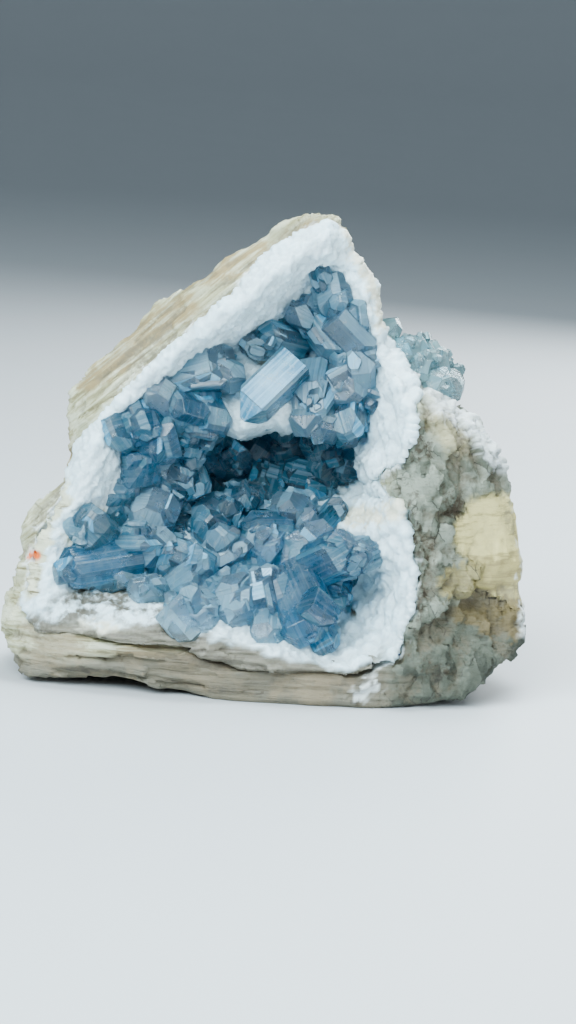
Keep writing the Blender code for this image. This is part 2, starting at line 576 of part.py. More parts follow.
def small_crystals(relief, rng, bm):
    """Fills the crust between the large crystals, standing on the lining and leaning at random."""
    made = 0
    while made < SMALL_CRYSTALS:
        x, z = rng.uniform(-43, 12), rng.uniform(9, 72)
        spot = np.array([[x, z]]) * MM
        if not inside_outline(spot, CRUST_OUTLINE)[0] or edge_distance(spot, CRUST_OUTLINE)[0] < 1 * MM:
            continue
        y = relief(spot)[0] - DRUSE_STAND - rng.uniform(0.5, 2) * MM
        axis = Vector((rng.uniform(-1, 1), -1.2, rng.uniform(-1, 1)))
        face = Vector((rng.uniform(-1, 1), rng.uniform(-0.5, 0.5), rng.uniform(-1, 1)))
        length = rng.uniform(*SMALL_LENGTHS)
        size = (length, length * rng.uniform(0.6, 0.9), length * rng.uniform(0.45, 0.7))
        add_crystal(bm, crystal_frame(Vector((x * MM, y, z * MM)), axis, face), size, rng)
        made += 1


def build_crust(relief, druse, rock, specimen, cutters):
    """The blue crystals of the hollow, grown together, trimmed where they meet the lining and the stone."""
    rng = random.Random(CRUST_SEED)
    bm = large_crystals(relief, rng)
    small_crystals(relief, rng, bm)
    crust = object_from(bm, "celestite_crust", specimen)
    base = build_crust_base(relief, cutters)
    crust = boolean(crust, base, "UNION")
    for neighbour in (druse, rock):
        crust = boolean(crust, grown(neighbour, "room", GAP, cutters), "DIFFERENCE")
    keep_largest_shell(crust)
    return crust


def build_side_cluster(rock, druse, specimen, cutters):
    """The pale crystals of the small pocket behind the right shoulder."""
    rng = random.Random(SIDE_SEED)
    start, end = (Vector(point) * MM for point in SIDE_ROOT)
    place = Matrix.Translation((start + end) / 2) @ (end - start).to_track_quat("Z", "Y").to_matrix().to_4x4()
    stretch = Matrix.Diagonal((SIDE_ROOT_RADIUS, SIDE_ROOT_RADIUS, SIDE_ROOT_REACH, 1))
    bm = bmesh.new()
    bmesh.ops.create_icosphere(bm, subdivisions=2, radius=1.0, matrix=place @ stretch)
    root = object_from(bm, "side root", cutters)
    bm = bmesh.new()
    for middle, axis, face, size in SIDE_CRYSTALS:
        add_crystal(bm, crystal_frame(Vector(middle) * MM, axis, face), size, rng)
    cluster = object_from(bm, "celestite_side_cluster", specimen)
    cluster = boolean(cluster, root, "UNION")
    for neighbour in (rock, druse):
        cluster = boolean(cluster, grown(neighbour, "room", GAP, cutters), "DIFFERENCE")
    keep_largest_shell(cluster)
    return cluster


def finish_node(obj, made):
    """Gives a finished node its material, and splits its many-sided faces into triangles."""
    bm = bmesh.new()
    bm.from_mesh(obj.data)
    bmesh.ops.triangulate(bm, faces=[face for face in bm.faces if len(face.verts) > 4])
    bm.to_mesh(obj.data)
    bm.free()
    obj.data.materials.clear()
    obj.data.materials.append(made)
    print(obj.name, sum(len(face.vertices) - 2 for face in obj.data.polygons), "triangles")


def main():
    start_scene()
    specimen = new_collection("celestite geode")
    cutters = new_collection("cutters", hidden=True)
    relief = Relief()

    matrix = decimate(build_matrix(relief, specimen), ROCK_TRIANGLES)
    flat_foot(matrix)
    druse = decimate(build_druse(relief, specimen), DRUSE_TRIANGLES)
    matrix = boolean(matrix, grown(druse, "lining room", GAP, cutters), "DIFFERENCE")
    keep_largest_shell(matrix)
    crust = build_crust(relief, druse, matrix, specimen, cutters)
    cluster = build_side_cluster(matrix, druse, specimen, cutters)

    finish_node(matrix, material("calcite matrix", (0.62, 0.57, 0.44), 0.75))
    finish_node(druse, material("white druse", (0.82, 0.85, 0.84), 0.45))
    finish_node(crust, material("blue celestite", (0.20, 0.36, 0.50), 0.12, 0.6))
    finish_node(cluster, material("pale celestite", (0.45, 0.58, 0.62), 0.2, 0.5))
    for obj in list(cutters.objects):
        bpy.data.objects.remove(obj)


if __name__ == "__main__":
    main()
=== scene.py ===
# The looks of a broken piece of a celestite geode: fibrous stone, a white sugary lining and blue crystals.
# Tables are in millimetres and say (x, z) or (x, y, z): x to the right, y away from the viewer, z up.
import math
import random

import bmesh
import bpy
import numpy as np
from mathutils import Matrix, Vector, noise
from mathutils.bvhtree import BVHTree


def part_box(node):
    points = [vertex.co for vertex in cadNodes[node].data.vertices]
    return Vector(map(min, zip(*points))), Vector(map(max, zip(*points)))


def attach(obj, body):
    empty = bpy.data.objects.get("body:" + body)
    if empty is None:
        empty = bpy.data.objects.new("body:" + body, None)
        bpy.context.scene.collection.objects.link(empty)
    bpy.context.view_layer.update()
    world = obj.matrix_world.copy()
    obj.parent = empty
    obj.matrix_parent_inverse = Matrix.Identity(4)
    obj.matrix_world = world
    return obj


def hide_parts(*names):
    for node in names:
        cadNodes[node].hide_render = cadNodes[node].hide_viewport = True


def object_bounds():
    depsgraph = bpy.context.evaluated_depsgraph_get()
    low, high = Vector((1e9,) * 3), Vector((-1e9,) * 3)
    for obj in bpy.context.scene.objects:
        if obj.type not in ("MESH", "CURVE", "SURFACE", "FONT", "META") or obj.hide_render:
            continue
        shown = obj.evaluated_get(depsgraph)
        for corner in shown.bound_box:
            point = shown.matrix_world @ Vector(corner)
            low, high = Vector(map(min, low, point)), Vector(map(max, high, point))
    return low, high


mm = 0.001
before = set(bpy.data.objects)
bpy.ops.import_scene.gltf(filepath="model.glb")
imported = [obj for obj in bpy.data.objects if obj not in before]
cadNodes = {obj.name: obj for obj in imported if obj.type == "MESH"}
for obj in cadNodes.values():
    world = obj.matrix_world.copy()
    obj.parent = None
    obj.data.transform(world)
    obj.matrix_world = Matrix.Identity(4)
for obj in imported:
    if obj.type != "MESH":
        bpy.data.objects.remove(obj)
cadLow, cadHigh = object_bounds()


# Small helpers

def linked(obj):
    bpy.context.scene.collection.objects.link(obj)
    return obj


def meshNow(obj):
    graph = bpy.context.evaluated_depsgraph_get()
    graph.update()
    return bpy.data.meshes.new_from_object(obj.evaluated_get(graph))


def bake(obj):  # the modifiers become the mesh
    mesh = meshNow(obj)
    obj.modifiers.clear()
    obj.data = mesh
    return obj


def vectorsOf(items, key):  # three numbers of each vertex or face
    flat = np.empty(len(items) * 3)
    items.foreach_get(key, flat)
    return flat.reshape(-1, 3)


def pointsOf(mesh):
    return vectorsOf(mesh.vertices, "co")


def normalsOf(mesh):
    return vectorsOf(mesh.vertices, "normal")


def setPoints(mesh, points):
    mesh.vertices.foreach_set("co", points.astype(np.float32).ravel())
    mesh.update()


def keepInBox(points):
    return np.clip(points, np.array(cadLow), np.array(cadHigh))


def storeMasks(mesh, masks, domain="POINT"):
    for name, values in masks.items():
        made = mesh.attributes.new(name, "FLOAT", domain)
        values = np.broadcast_to(np.asarray(values, np.float32), len(made.data))
        made.data.foreach_set("value", np.ascontiguousarray(values))


def surfaceOf(node):  # the faces of a solid of the frame, to cast rays at and to measure from
    return BVHTree.FromObject(cadNodes[node], bpy.context.evaluated_depsgraph_get())


def distancesTo(surface, points):  # in millimetres
    return np.array([surface.find_nearest(Vector(p))[3] for p in points]) / mm


def soften(value):  # 0 below 0, 1 above 1, smooth between
    value = np.clip(value, 0, 1)
    return value * value * (3 - 2 * value)


def scaled(points, size, stretch, shift):
    return [Vector(p) for p in points / (size * mm) / np.array(stretch) + shift]


def cloud(points, size, octaves=3, stretch=(1, 1, 1), shift=0.0):
    # soft noise about 0, with features about this many millimetres across
    return np.array([noise.fractal(p, 0.7, 2.0, octaves) for p in scaled(points, size, stretch, shift)])


def cells(points, size, shift=0.0):
    # distance to the nearest of scattered middles, in parts of size
    return np.array([noise.voronoi(p)[0][0] for p in scaled(points, size, (1, 1, 1), shift)])


def chips(points, size, stretch=(1, 1, 1), shift=0.0):
    # flat chips of broken stone, about 0: each scattered middle has its own height and slope
    half = Vector((0.5, 0.5, 0.5))
    found = []
    for p in scaled(points, size, stretch, shift):
        middle = noise.voronoi(p)[1][0]
        height = noise.cell_vector(middle * 37.7).x - 0.5
        slope = noise.cell_vector(middle * 61.3 + half) - half
        found.append(height + (p - middle).dot(slope) * 1.2)
    return np.array(found)


def turned(points, degrees):  # turned in the picture's plane, so that x lies along that direction
    angle = math.radians(degrees)
    c, s = math.cos(angle), math.sin(angle)
    x, y, z = points.T
    return np.stack([c * x + s * z, y, c * z - s * x], axis=1)


def nearest(xz, line):  # distance in millimetres of each (x, z) from one spot or a line of them
    line = np.array(line, float).reshape(-1, 2)
    found = np.full(len(xz), np.inf)
    for a, b in zip(line, line[1:] if len(line) > 1 else line):
        side = b - a
        share = np.clip(((xz - a) @ side) / max(side @ side, 1e-9), 0, 1)
        found = np.minimum(found, np.linalg.norm(xz - a - share[:, None] * side, axis=1))
    return found


def near(x, z, line):
    return nearest(np.array([[x, z]]), line)[0]


def strokeMask(points, strokes, ragged=0):
    # 1 on strokes of (radius, (x, z), (x, z), ...), 0 away from them, with an edge as ragged as given
    xz = points[:, [0, 2]] / mm
    found = np.zeros(len(points))
    for radius, *line in strokes:
        found = np.maximum(found, soften(1.5 - (nearest(xz, line) + ragged) / radius))
    return found


def fineCopy(node, name, voxel, rounds):
    # an evenly meshed copy of a solid of the frame, with its facets smoothed away
    obj = linked(bpy.data.objects.new(name, cadNodes[node].data.copy()))
    obj.data.materials.clear()
    remesh = obj.modifiers.new("even", "REMESH")
    remesh.mode = "VOXEL"
    remesh.voxel_size = voxel * mm
    smooth = obj.modifiers.new("soft", "SMOOTH")
    smooth.factor = 0.5
    smooth.iterations = rounds
    return bake(obj)


stoneSurface = surfaceOf("matrix")
liningSurface = surfaceOf("white_druse")
crustSurface = surfaceOf("celestite_crust")


# Helpers for the materials; most find their node tree by a socket they are given
# Scales of patterns are parts in a metre, so 1000 makes grains of about a millimetre

def isSocket(value):
    return isinstance(value, bpy.types.NodeSocket)


def plug(node, **inputs):  # links sockets and sets values; i0 is input 0, and colours need no alpha
    for key, value in inputs.items():
        numbered = key[0] == "i" and key[1:].isdigit()
        socket = node.inputs[int(key[1:]) if numbered else key.replace("_", " ")]
        if isSocket(value):
            node.id_data.links.new(value, socket)
        else:
            socket.default_value = (*value, 1.0) if socket.type == "RGBA" else value
    return node


def addNode(tree, kind, settings=None, **inputs):
    made = tree.nodes.new(kind)
    for key, value in (settings or {}).items():
        setattr(made, key, value)
    return plug(made, **inputs)


def newMaterial(name):  # also its tree, its shader and the place on the object
    made = bpy.data.materials.new(name)
    made.use_nodes = True
    tree = made.node_tree
    place = addNode(tree, "ShaderNodeTexCoord").outputs["Object"]
    return made, tree, tree.nodes["Principled BSDF"], place


def maskNode(tree, name, output="Fac"):
    return addNode(tree, "ShaderNodeAttribute", {"attribute_name": name}).outputs[output]


def noiseNode(place, scale, detail=4.0, roughness=0.6):
    return addNode(place.id_data, "ShaderNodeTexNoise", None, Vector=place, Scale=scale, Detail=detail,
                   Roughness=roughness).outputs["Fac"]


def rangeNode(value, low, high, fromLow=0.0, fromHigh=1.0, kind="LINEAR"):
    return addNode(value.id_data, "ShaderNodeMapRange", {"interpolation_type": kind}, Value=value,
                   From_Min=fromLow, From_Max=fromHigh, To_Min=low, To_Max=high).outputs["Result"]


def rampNode(value, low, high):  # softly from 0 at low to 1 at high
    return rangeNode(value, 0.0, 1.0, low, high, "SMOOTHSTEP")


def mathNode(operation, a, b):
    tree = (a if isSocket(a) else b).id_data
    return addNode(tree, "ShaderNodeMath", {"operation": operation}, i0=a, i1=b).outputs["Value"]


def product(a, b):
    return mathNode("MULTIPLY", a, b)


def total(a, b):
    return mathNode("ADD", a, b)


def vectorNode(operation, a, b):
    return addNode(a.id_data, "ShaderNodeVectorMath", {"operation": operation}, i0=a, i1=b)


def mixNode(share, a, b):
    return addNode(share.id_data, "ShaderNodeMix", {"data_type": "RGBA"}, i0=share, i6=a, i7=b).outputs[2]


def bumpNode(height, distance, strength, below=None):
    made = addNode(height.id_data, "ShaderNodeBump", None, Height=height, Distance=distance * mm,
                   Strength=strength)
    if below is not None:
        plug(made, Normal=below)
    return made.outputs["Normal"]


def times(colour, other):
    return tuple(a * b for a, b in zip(colour, other))


# Camera, floor and lights

view = {
    "aim": (-4.2, -12, 31),  # what lies in the middle of the picture
    "distance": 500,
    "elevation": 10,  # degrees above level
    "roll": 3.33,  # degrees, the camera was held a little askew
    "pictureHeight": 174.1,  # millimetres that the picture's long side takes in at the aim
}


def makeCamera():
    tilt, roll = math.radians(view["elevation"]), math.radians(view["roll"])
    ahead = Vector((0, math.cos(tilt), -math.sin(tilt)))
    level = Vector((1, 0, 0))
    up = level.cross(ahead)
    right = math.cos(roll) * level + math.sin(roll) * up
    up = right.cross(ahead)
    data = bpy.data.cameras.new("camera")
    data.sensor_width = 36
    data.lens = 36 * view["distance"] / view["pictureHeight"]
    data.clip_start = 0.01
    camera = linked(bpy.data.objects.new("camera", data))
    turn = Matrix((right, up, -ahead)).transposed().to_4x4()
    place = (Vector(view["aim"]) - ahead * view["distance"]) * mm
    camera.matrix_world = Matrix.Translation(place) @ turn
    bpy.context.scene.camera = camera


studio = {
    "floorColour": (0.62, 0.64, 0.66),
    "worldColour": (0.74, 0.89, 1.0),
    "worldStrength": 0.20,
    # the floor is a wide dish: (radius, height) in metres, level under the stone, swept up far around it
    "dish": [(0.3, 0), (1.2, 0), (1.6, 0.05), (1.9, 0.2), (2.1, 0.45), (2.2, 0.7)],
    "dishSides": 64,
    "target": (-5, 0, 35),  # where the lamps look
    # name, place, size, watts, colour
    "lamps": [
        ("key", (-260, -420, 420), (600, 440), 8.4, (0.82, 0.95, 1.0)),
        ("fill", (420, -420, 160), (300, 300), 1.2, (0.92, 0.98, 1.0)),
        ("top", (60, 60, 460), (260, 260), 2.6, (0.84, 0.96, 1.0)),
        ("back", (200, 460, 260), (300, 300), 2.0, (0.92, 0.98, 1.0)),
    ],
}


def makeStudio():
    bm = bmesh.new()
    sides = studio["dishSides"]
    turns = [(math.cos(k * math.tau / sides), math.sin(k * math.tau / sides)) for k in range(sides)]
    rings = [[bm.verts.new((radius * c, radius * s, height)) for c, s in turns]
             for radius, height in studio["dish"]]
    bm.faces.new(rings[0])
    for inner, outer in zip(rings, rings[1:]):
        for k in range(sides):
            after = (k + 1) % sides
            bm.faces.new((inner[k], outer[k], outer[after], inner[after]))
    mesh = bpy.data.meshes.new("floor")
    bm.to_mesh(mesh)
    bm.free()
    floor = linked(bpy.data.objects.new("floor", mesh))
    made, _, shader, place = newMaterial("pale floor")
    pale = studio["floorColour"]
    plug(shader, Base_Color=mixNode(noiseNode(place, 40.0), times(pale, (0.97, 0.97, 0.97)), pale),
         Roughness=0.6)
    mesh.materials.append(made)
    mesh.shade_smooth()
    target = Vector(studio["target"]) * mm
    for name, place, size, watts, colour in studio["lamps"]:
        data = bpy.data.lights.new(name, "AREA")
        data.shape = "RECTANGLE"
        data.size, data.size_y = (side * mm for side in size)
        data.energy = watts
        data.color = colour
        lamp = linked(bpy.data.objects.new(name, data))
        lamp.location = Vector(place) * mm
        lamp.rotation_euler = (target - lamp.location).to_track_quat("-Z", "Y").to_euler()
    world = bpy.data.worlds.new("studio")
    world.use_nodes = True
    plug(world.node_tree.nodes["Background"], Color=studio["worldColour"], Strength=studio["worldStrength"])
    bpy.context.scene.world = world
    bpy.context.scene.view_settings.look = "AgX - Medium High Contrast"


makeCamera()
makeStudio()
print("camera and studio made")


# The host stone

stone = {
    "voxel": 0.54,
    "smoothing": 6,
    # how far each kind of relief rises
    "fibreHeight": 0.7,
    "ledgeHeight": 1.3,
    "layerHeight": 0.6,
    "stepHeight": 1.2,
    "chipHeight": 1.7,
    "crumbHeight": 0.16,
    "lipHeight": 1.1,
    "rindHeight": 1.2,
    "rimAngle": 42,  # degrees, how the fibres of the upper left rim run
    "cleavageAngle": 14,  # degrees, how the blocks of the right side lie
    "lipLine": ((13, 8), (15.3, 10.6), (26.6, 19.2), (36, 20.5)),  # above it the right side stands forward
    "rimFrom": 30,  # z above which the left side is rim
    "rightFrom": 12,  # x from which the stone is broken into blocks
    "footTo": 11,  # z below which it is layered
    "rindFrom": 3,  # y behind which it is rind
    "roughness": (0.75, 0.38),  # in the hollows and on the ridges of the fibres
    "glow": 0.10,  # share of the light that goes under the surface
    "ior": 1.5,
}

# strokes of colour on the stone: (radius, (x, z), ...)
stoneStains = {
    "honey": [(6, (30, 30), (34, 27), (36, 22)), (3, (31, 21), (35, 19))],
    "honeyLow": [(2.9, (25, 21.2), (31, 22.2), (38, 22.8)), (1.5, (27, 18.9), (33, 20))],
    "ochre": [(2.2, (-32.5, 57.5), (-23.5, 64.5)), (1.6, (-40, 50), (-34, 55)),
              (1.3, (-12, 72.5), (-3, 79)), (1.2, (22, 47.5), (23.5, 45)), (2, (-20, 70), (-12, 74)),
              (2.4, (-46, 42), (-41, 36)), (2, (-30, 7), (-12, 6))],
    "brown": [(1.7, (18.5, 47), (17.5, 41), (17, 37)), (1.3, (21, 49.5), (27, 45)),
              (2.2, (14, 34), (17, 30)), (1.8, (19.5, 27), (18.5, 20), (17, 15)), (1.2, (22, 38), (24, 33)),
              (1.5, (-41, 12), (-30, 13)), (1.2, (-24, 10.5), (-14, 9)), (1.2, (17, 10), (24, 7)),
              (1, (29, 11), (34, 13)), (2.2, (11, 32), (16, 30))],
    # recess: the honey-brown band under the lip, darkened partly as painted shade of the lip
    "recess": [(2.2, (26.5, 15.6), (31, 16.3), (36, 15.6)), (1.8, (31, 13.5), (36, 13))],
    "warm": [(2.4, (20.5, 48.5), (24, 44.5)), (1.6, (30, 34.5), (28, 31))],
    "snow": [(3, (11, 62), (14, 58), (19, 55), (22, 52)), (2, (24, 50), (28, 46.5), (33, 41)),
             (1.7, (37, 37), (38.5, 22), (38.5, 13)), (2.5, (-43, 18), (-42, 27)),
             (1.5, (-46, 14), (-40, 12)), (1.2, (9.6, 2.4), (11.4, 3.4))],
    "tan": [(3.5, (-45, 4), (-20, 4), (5, 3)), (2.6, (-46.5, 8), (-38, 7))],
    "spot": [(0.8, (-46.6, 21))],
}
crispStains = ("honeyLow", "recess")  # honey is crisp too, and has no rind


def sharper(mask):
    return soften(2.5 * mask - 0.75)


def layerLift(points):  # level layers and steps of split stone
    lift = stone["layerHeight"] * cloud(points, 0.8, 3, (14, 4, 1), 2.0)
    return lift + stone["stepHeight"] * chips(points, 2.2, (5, 1.6, 1), 9.0)


def makeStone():
    obj = fineCopy("matrix", "stone", stone["voxel"], stone["smoothing"])
    mesh = obj.data
    points, normals = pointsOf(mesh), normalsOf(mesh)
    x, y, z = (points / mm).T
    rim = z - stone["rimFrom"]
    rim = np.maximum(soften((rim - 1.2 * (x + 38)) / 8), soften(rim / 8)) * soften((6 - x) / 6)
    right = soften((x - stone["rightFrom"]) / 6)
    foot = soften((stone["footTo"] - z) / 5) * (1 - 0.7 * right)
    rind = soften((y - stone["rindFrom"] + 6 * cloud(points, 8, 3, shift=1.0)) / 4)
    # splintered fibres and ledges of the rim, which run up to the right
    along = turned(points, stone["rimAngle"])
    rimLift = stone["fibreHeight"] * cloud(along, 0.9, 3, (12, 3, 1))
    rimLift += stone["ledgeHeight"] * chips(along, 3.0, (4.5, 1.5, 1), 5.0)
    layers = layerLift(points)
    # blocks, chips and crumbs of the broken right side
    lain = turned(points, stone["cleavageAngle"])
    chipLift = stone["chipHeight"] * chips(lain, 4.0, (0.85, 1, 1.5))
    chipLift += 0.5 * stone["chipHeight"] * chips(lain, 1.9, (0.8, 1, 1.3), 3.0)
    chipLift += stone["crumbHeight"] * cloud(points, 0.9, 2)
    above = z - np.interp(x, *zip(*stone["lipLine"]))
    chipLift += stone["lipHeight"] * (2 * soften(above / 0.9 + 0.5) - 1) * soften(1.3 - abs(above) / 4)
    # knobs and pits of the outer rind
    rindLift = 0.5 - cells(points, 4.5, shift=3.0) + 0.8 * cloud(points, 1.3, 4)
    rindLift *= 0.75 + 0.6 * cloud(points, 9, 2)
    rindLift += 0.8 * cloud(points, 7, 3, shift=6.0) + 0.9 * chips(points, 5.5, shift=7.0)
    rindLift *= stone["rindHeight"]
    rest = np.maximum(0, 1 - rim - foot)
    mixed = right * chipLift + (1 - right) * 0.6 * (chipLift + layers)
    lift = (rim * rimLift + foot * layers + rest * mixed) / (rim + foot + rest)
    lift = lift * (1 - rind) + rindLift * rind
    honey = sharper(strokeMask(points, stoneStains["honey"], cloud(points, 3, 3) * 1.2)) * (1 - rind)
    lift *= 1 - 0.75 * honey
    nearLining = distancesTo(liningSurface, points)
    lift *= 0.5 + 0.5 * soften(nearLining / 2.0)
    lift -= 0.15
    # where the relief sinks; the colour there is darkened, as painted shade with some dirt
    crevice = soften((-lift - 0.05) / 0.6)
    level = soften((1.6 - z) / 1.2)
    lift = lift * (1 - level) + 0.12 * level
    points = keepInBox(points + normals * lift[:, None] * mm)
    setPoints(mesh, points)

    edge = cloud(points, 1.6, 3)
    front = soften((0.45 - normals[:, 1]) / 0.5) * (1 - rind)
    for name, strokes in stoneStains.items():
        if name != "honey":
            mask = strokeMask(points, strokes, edge * 1.4)
            storeMasks(mesh, {name: front * (sharper(mask) if name in crispStains else mask)})
    bareFoot = soften((14 - z) / 3) * soften((14 - x) / 4)
    broken = soften((x - 10) / 5) * soften((54 - z + (x - 20) * 0.2) / 6)
    storeMasks(mesh, {
        "honey": honey,
        "rimGrain": rim,
        "rind": rind,
        "frostEdge": soften((1.4 - 0.9 * right - nearLining - 1.5 * edge) / 1.2) * (1 - bareFoot),
        "crevice": crevice,
        "large": soften(0.5 + 1.2 * cloud(points, 12, 3)),
        "broken": broken * (1 - honey) * (1 - rind),
        # the lower band, whose colours carry painted shade of the underside
        "foot": soften((12 - z + 0.15 * (x + 10)) / 4) * (1 - right),
        # the lower right, whose colours carry painted shade
        "under": soften((16 - z + 0.3 * (x - 20)) / 5) * right,
    })
    mesh.shade_smooth()
    obj.data.materials.append(stoneMaterial())
    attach(obj, "root")
    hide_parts("matrix")
    print("stone made,", len(mesh.polygons), "faces")


stoneColours = {
    "cream": (0.40, 0.385, 0.235),
    "pale": (0.64, 0.65, 0.50),
    "fibreDark": (0.20, 0.17, 0.09),
    "grey": (0.36, 0.37, 0.30),
    "tan": (0.31, 0.25, 0.165),
    "ochre": (0.35, 0.275, 0.145),
    # the bottom's layered stone: its own tan and grey, darkened further as painted shade of the underside
    "footPale": (0.215, 0.20, 0.155),
    "footDark": (0.12, 0.105, 0.08),
    "blockPale": (0.31, 0.335, 0.275),
    "blockGrey": (0.13, 0.145, 0.11),
    # the lower right's grey-green blocks, darkened further as painted shade of the underside
    "underPale": (0.135, 0.148, 0.115),
    "underDark": (0.07, 0.077, 0.058),
    "warm": (0.46, 0.41, 0.24),
    "honey": (0.68, 0.60, 0.29),
    "honeyDark": (0.42, 0.36, 0.165),
    "honeyBand": (0.29, 0.24, 0.115),
    "recess": (0.19, 0.145, 0.068),
    "brown": (0.075, 0.055, 0.035),
    "crack": (0.055, 0.05, 0.04),
    # the speckled dark of the sunken places: painted shade with some dirt
    "dirtAndShade": (0.20, 0.175, 0.125),
    "snow": (0.78, 0.83, 0.83),
    "spot": (0.75, 0.16, 0.03),
    "rind": (0.26, 0.22, 0.155),
    "rindTan": (0.33, 0.28, 0.19),
    "rindRust": (0.17, 0.115, 0.065),
    "rindGrey": (0.22, 0.22, 0.185),
}


def stoneMaterial():
    made, tree, shader, place = newMaterial("fibrous stone")
    colour = stoneColours

    def mask(name):
        return maskNode(tree, name)

    def laid(degrees, scale, shift=None):  # the place turned in the picture's plane, stretched and shifted
        turn = (0, math.radians(degrees), 0)
        spun = addNode(tree, "ShaderNodeMapping", None, Vector=place, Rotation=turn).outputs["Vector"]
        found = vectorNode("MULTIPLY", spun, scale).outputs["Vector"]
        return vectorNode("ADD", shift, found).outputs["Vector"] if shift else found

    def shards(where, **settings):  # cells of broken stone, about as large as a unit of where
        return addNode(tree, "ShaderNodeTexVoronoi", settings, Vector=where, Scale=1.0).outputs

    def byRim(rimPattern, levelPattern):  # one pattern on the rim, the other elsewhere
        elsewhere = mathNode("SUBTRACT", 1.0, rimGrain)
        return total(product(rimPattern, rimGrain), product(levelPattern, elsewhere))

    def stain(below, share, pattern, low, high, name, strength=1.0):
        share = product(share, rampNode(pattern, low, high))
        return mixNode(product(share, strength), below, colour[name])

    def stripes(pattern, low, high, dark, pale):
        return mixNode(rampNode(pattern, low, high), colour[dark], colour[pale])

    rimGrain = mask("rimGrain")
    rimAngle = stone["rimAngle"]
    levelFibre = noiseNode(laid(0, (60, 250, 1000)), 1.0, 6.0, 0.7)
    fibre = byRim(noiseNode(laid(rimAngle, (60, 300, 1100)), 1.0, 6.0, 0.7), levelFibre)
    patches = noiseNode(place, 170.0, 5.0)
    specks = noiseNode(place, 900.0, 4.0, 0.7)
    ragged = addNode(tree, "ShaderNodeTexNoise", None, Vector=place, Scale=500.0).outputs["Color"]
    ragged = vectorNode("MULTIPLY", ragged, (0.5, 0.5, 0.5)).outputs["Vector"]
    # a shade for each flat splinter
    splinters = byRim(shards(laid(rimAngle, (90, 260, 560), ragged))["Color"],
                      shards(laid(0, (85, 200, 620), ragged))["Color"])
    # thin dark cracks between the cleavage blocks
    blocks = laid(stone["cleavageAngle"], (420, 300, 230), ragged)
    blockEdges = shards(blocks, feature="DISTANCE_TO_EDGE")["Distance"]
    blockShade = total(product(shards(blocks)["Color"], 0.5), product(patches, 0.8))
    cracks = product(rampNode(blockEdges, 0.05, 0.0), rampNode(patches, 0.48, 0.58))

    body = stripes(fibre, 0.40, 0.58, "cream", "pale")
    body = mixNode(product(rampNode(fibre, 0.43, 0.37), 0.8), body, colour["fibreDark"])
    body = mixNode(product(rampNode(splinters, 0.50, 0.22), 0.5), body, colour["cream"])
    body = stain(body, rampNode(patches, 0.52, 0.68), fibre, 0.4, 0.6, "grey", 0.6)
    body = stain(body, mask("ochre"), fibre, 0.68, 0.46, "ochre")
    broken = mask("broken")
    body = mixNode(broken, body, stripes(blockShade, 0.80, 0.56, "blockGrey", "blockPale"))
    layered = total(product(levelFibre, 0.6), product(splinters, 0.4))
    # the layered bottom, in colours that hold painted shade of the underside as well as its own
    body = mixNode(mask("foot"), body, stripes(layered, 0.34, 0.54, "footDark", "footPale"))
    body = stain(body, mask("tan"), patches, 0.4, 0.6, "tan", 0.7)
    # the lower right blocks, in colours that hold painted shade as well as their own grey-green
    body = mixNode(mask("under"), body, stripes(blockShade, 0.82, 0.56, "underDark", "underPale"))
    body = mixNode(product(mask("warm"), 0.75), body, colour["warm"])
    body = mixNode(mask("honey"), body, stripes(levelFibre, 0.36, 0.50, "honeyDark", "honey"))
    body = mixNode(product(mask("honeyLow"), 0.85), body,
                   stripes(levelFibre, 0.40, 0.60, "honeyBand", "honeyDark"))
    # the band under the lip: its own brown, darkened partly as painted shade
    body = stain(body, mask("recess"), specks, 0.2, 0.4, "recess", 0.85)
    rind = stripes(patches, 0.35, 0.65, "rind", "rindTan")
    rusty = stripes(patches, 0.4, 0.6, "rindGrey", "rindRust")
    rind = mixNode(product(mask("large"), 0.8), rind, rusty)
    rind = mixNode(product(rampNode(specks, 0.55, 0.75), 0.7), rind, colour["cream"])
    body = mixNode(mask("rind"), body, rind)
    # the sunken places speckled darker: painted shade with some dirt
    body = stain(body, mask("crevice"), specks, 0.25, 0.6, "dirtAndShade", 0.8)
    body = mixNode(product(product(cracks, broken), 0.85), body, colour["crack"])
    layers = product(rampNode(levelFibre, 0.40, 0.34), mask("foot"))
    body = mixNode(product(layers, 0.45), body, colour["crack"])
    speckled = total(specks, product(patches, 0.6))
    body = stain(body, mask("brown"), speckled, 0.76, 0.96, "brown", 0.85)
    body = mixNode(mask("snow"), body, colour["snow"])
    body = mixNode(mask("frostEdge"), body, colour["snow"])
    body = mixNode(mask("spot"), body, colour["spot"])
    smooth = mathNode("SUBTRACT", 1.0, product(mask("honey"), 0.75))
    normal = bumpNode(product(specks, smooth), 0.3, 0.7)
    normal = bumpNode(product(fibre, smooth), 0.7, 1.0, normal)
    normal = bumpNode(product(blockShade, broken), 1.2, 0.9, normal)
    bare = mathNode("SUBTRACT", smooth, mathNode("MAXIMUM", broken, mask("rind")))
    normal = bumpNode(product(splinters, mathNode("MAXIMUM", bare, 0.0)), 0.8, 0.9, normal)
    plug(shader, Base_Color=body, Roughness=rangeNode(fibre, *stone["roughness"]), Normal=normal,
         IOR=stone["ior"], Subsurface_Weight=stone["glow"], Subsurface_Radius=(1.0, 0.85, 0.6),
         Subsurface_Scale=1.0 * mm)
    return made


makeStone()


# The white sugary lining

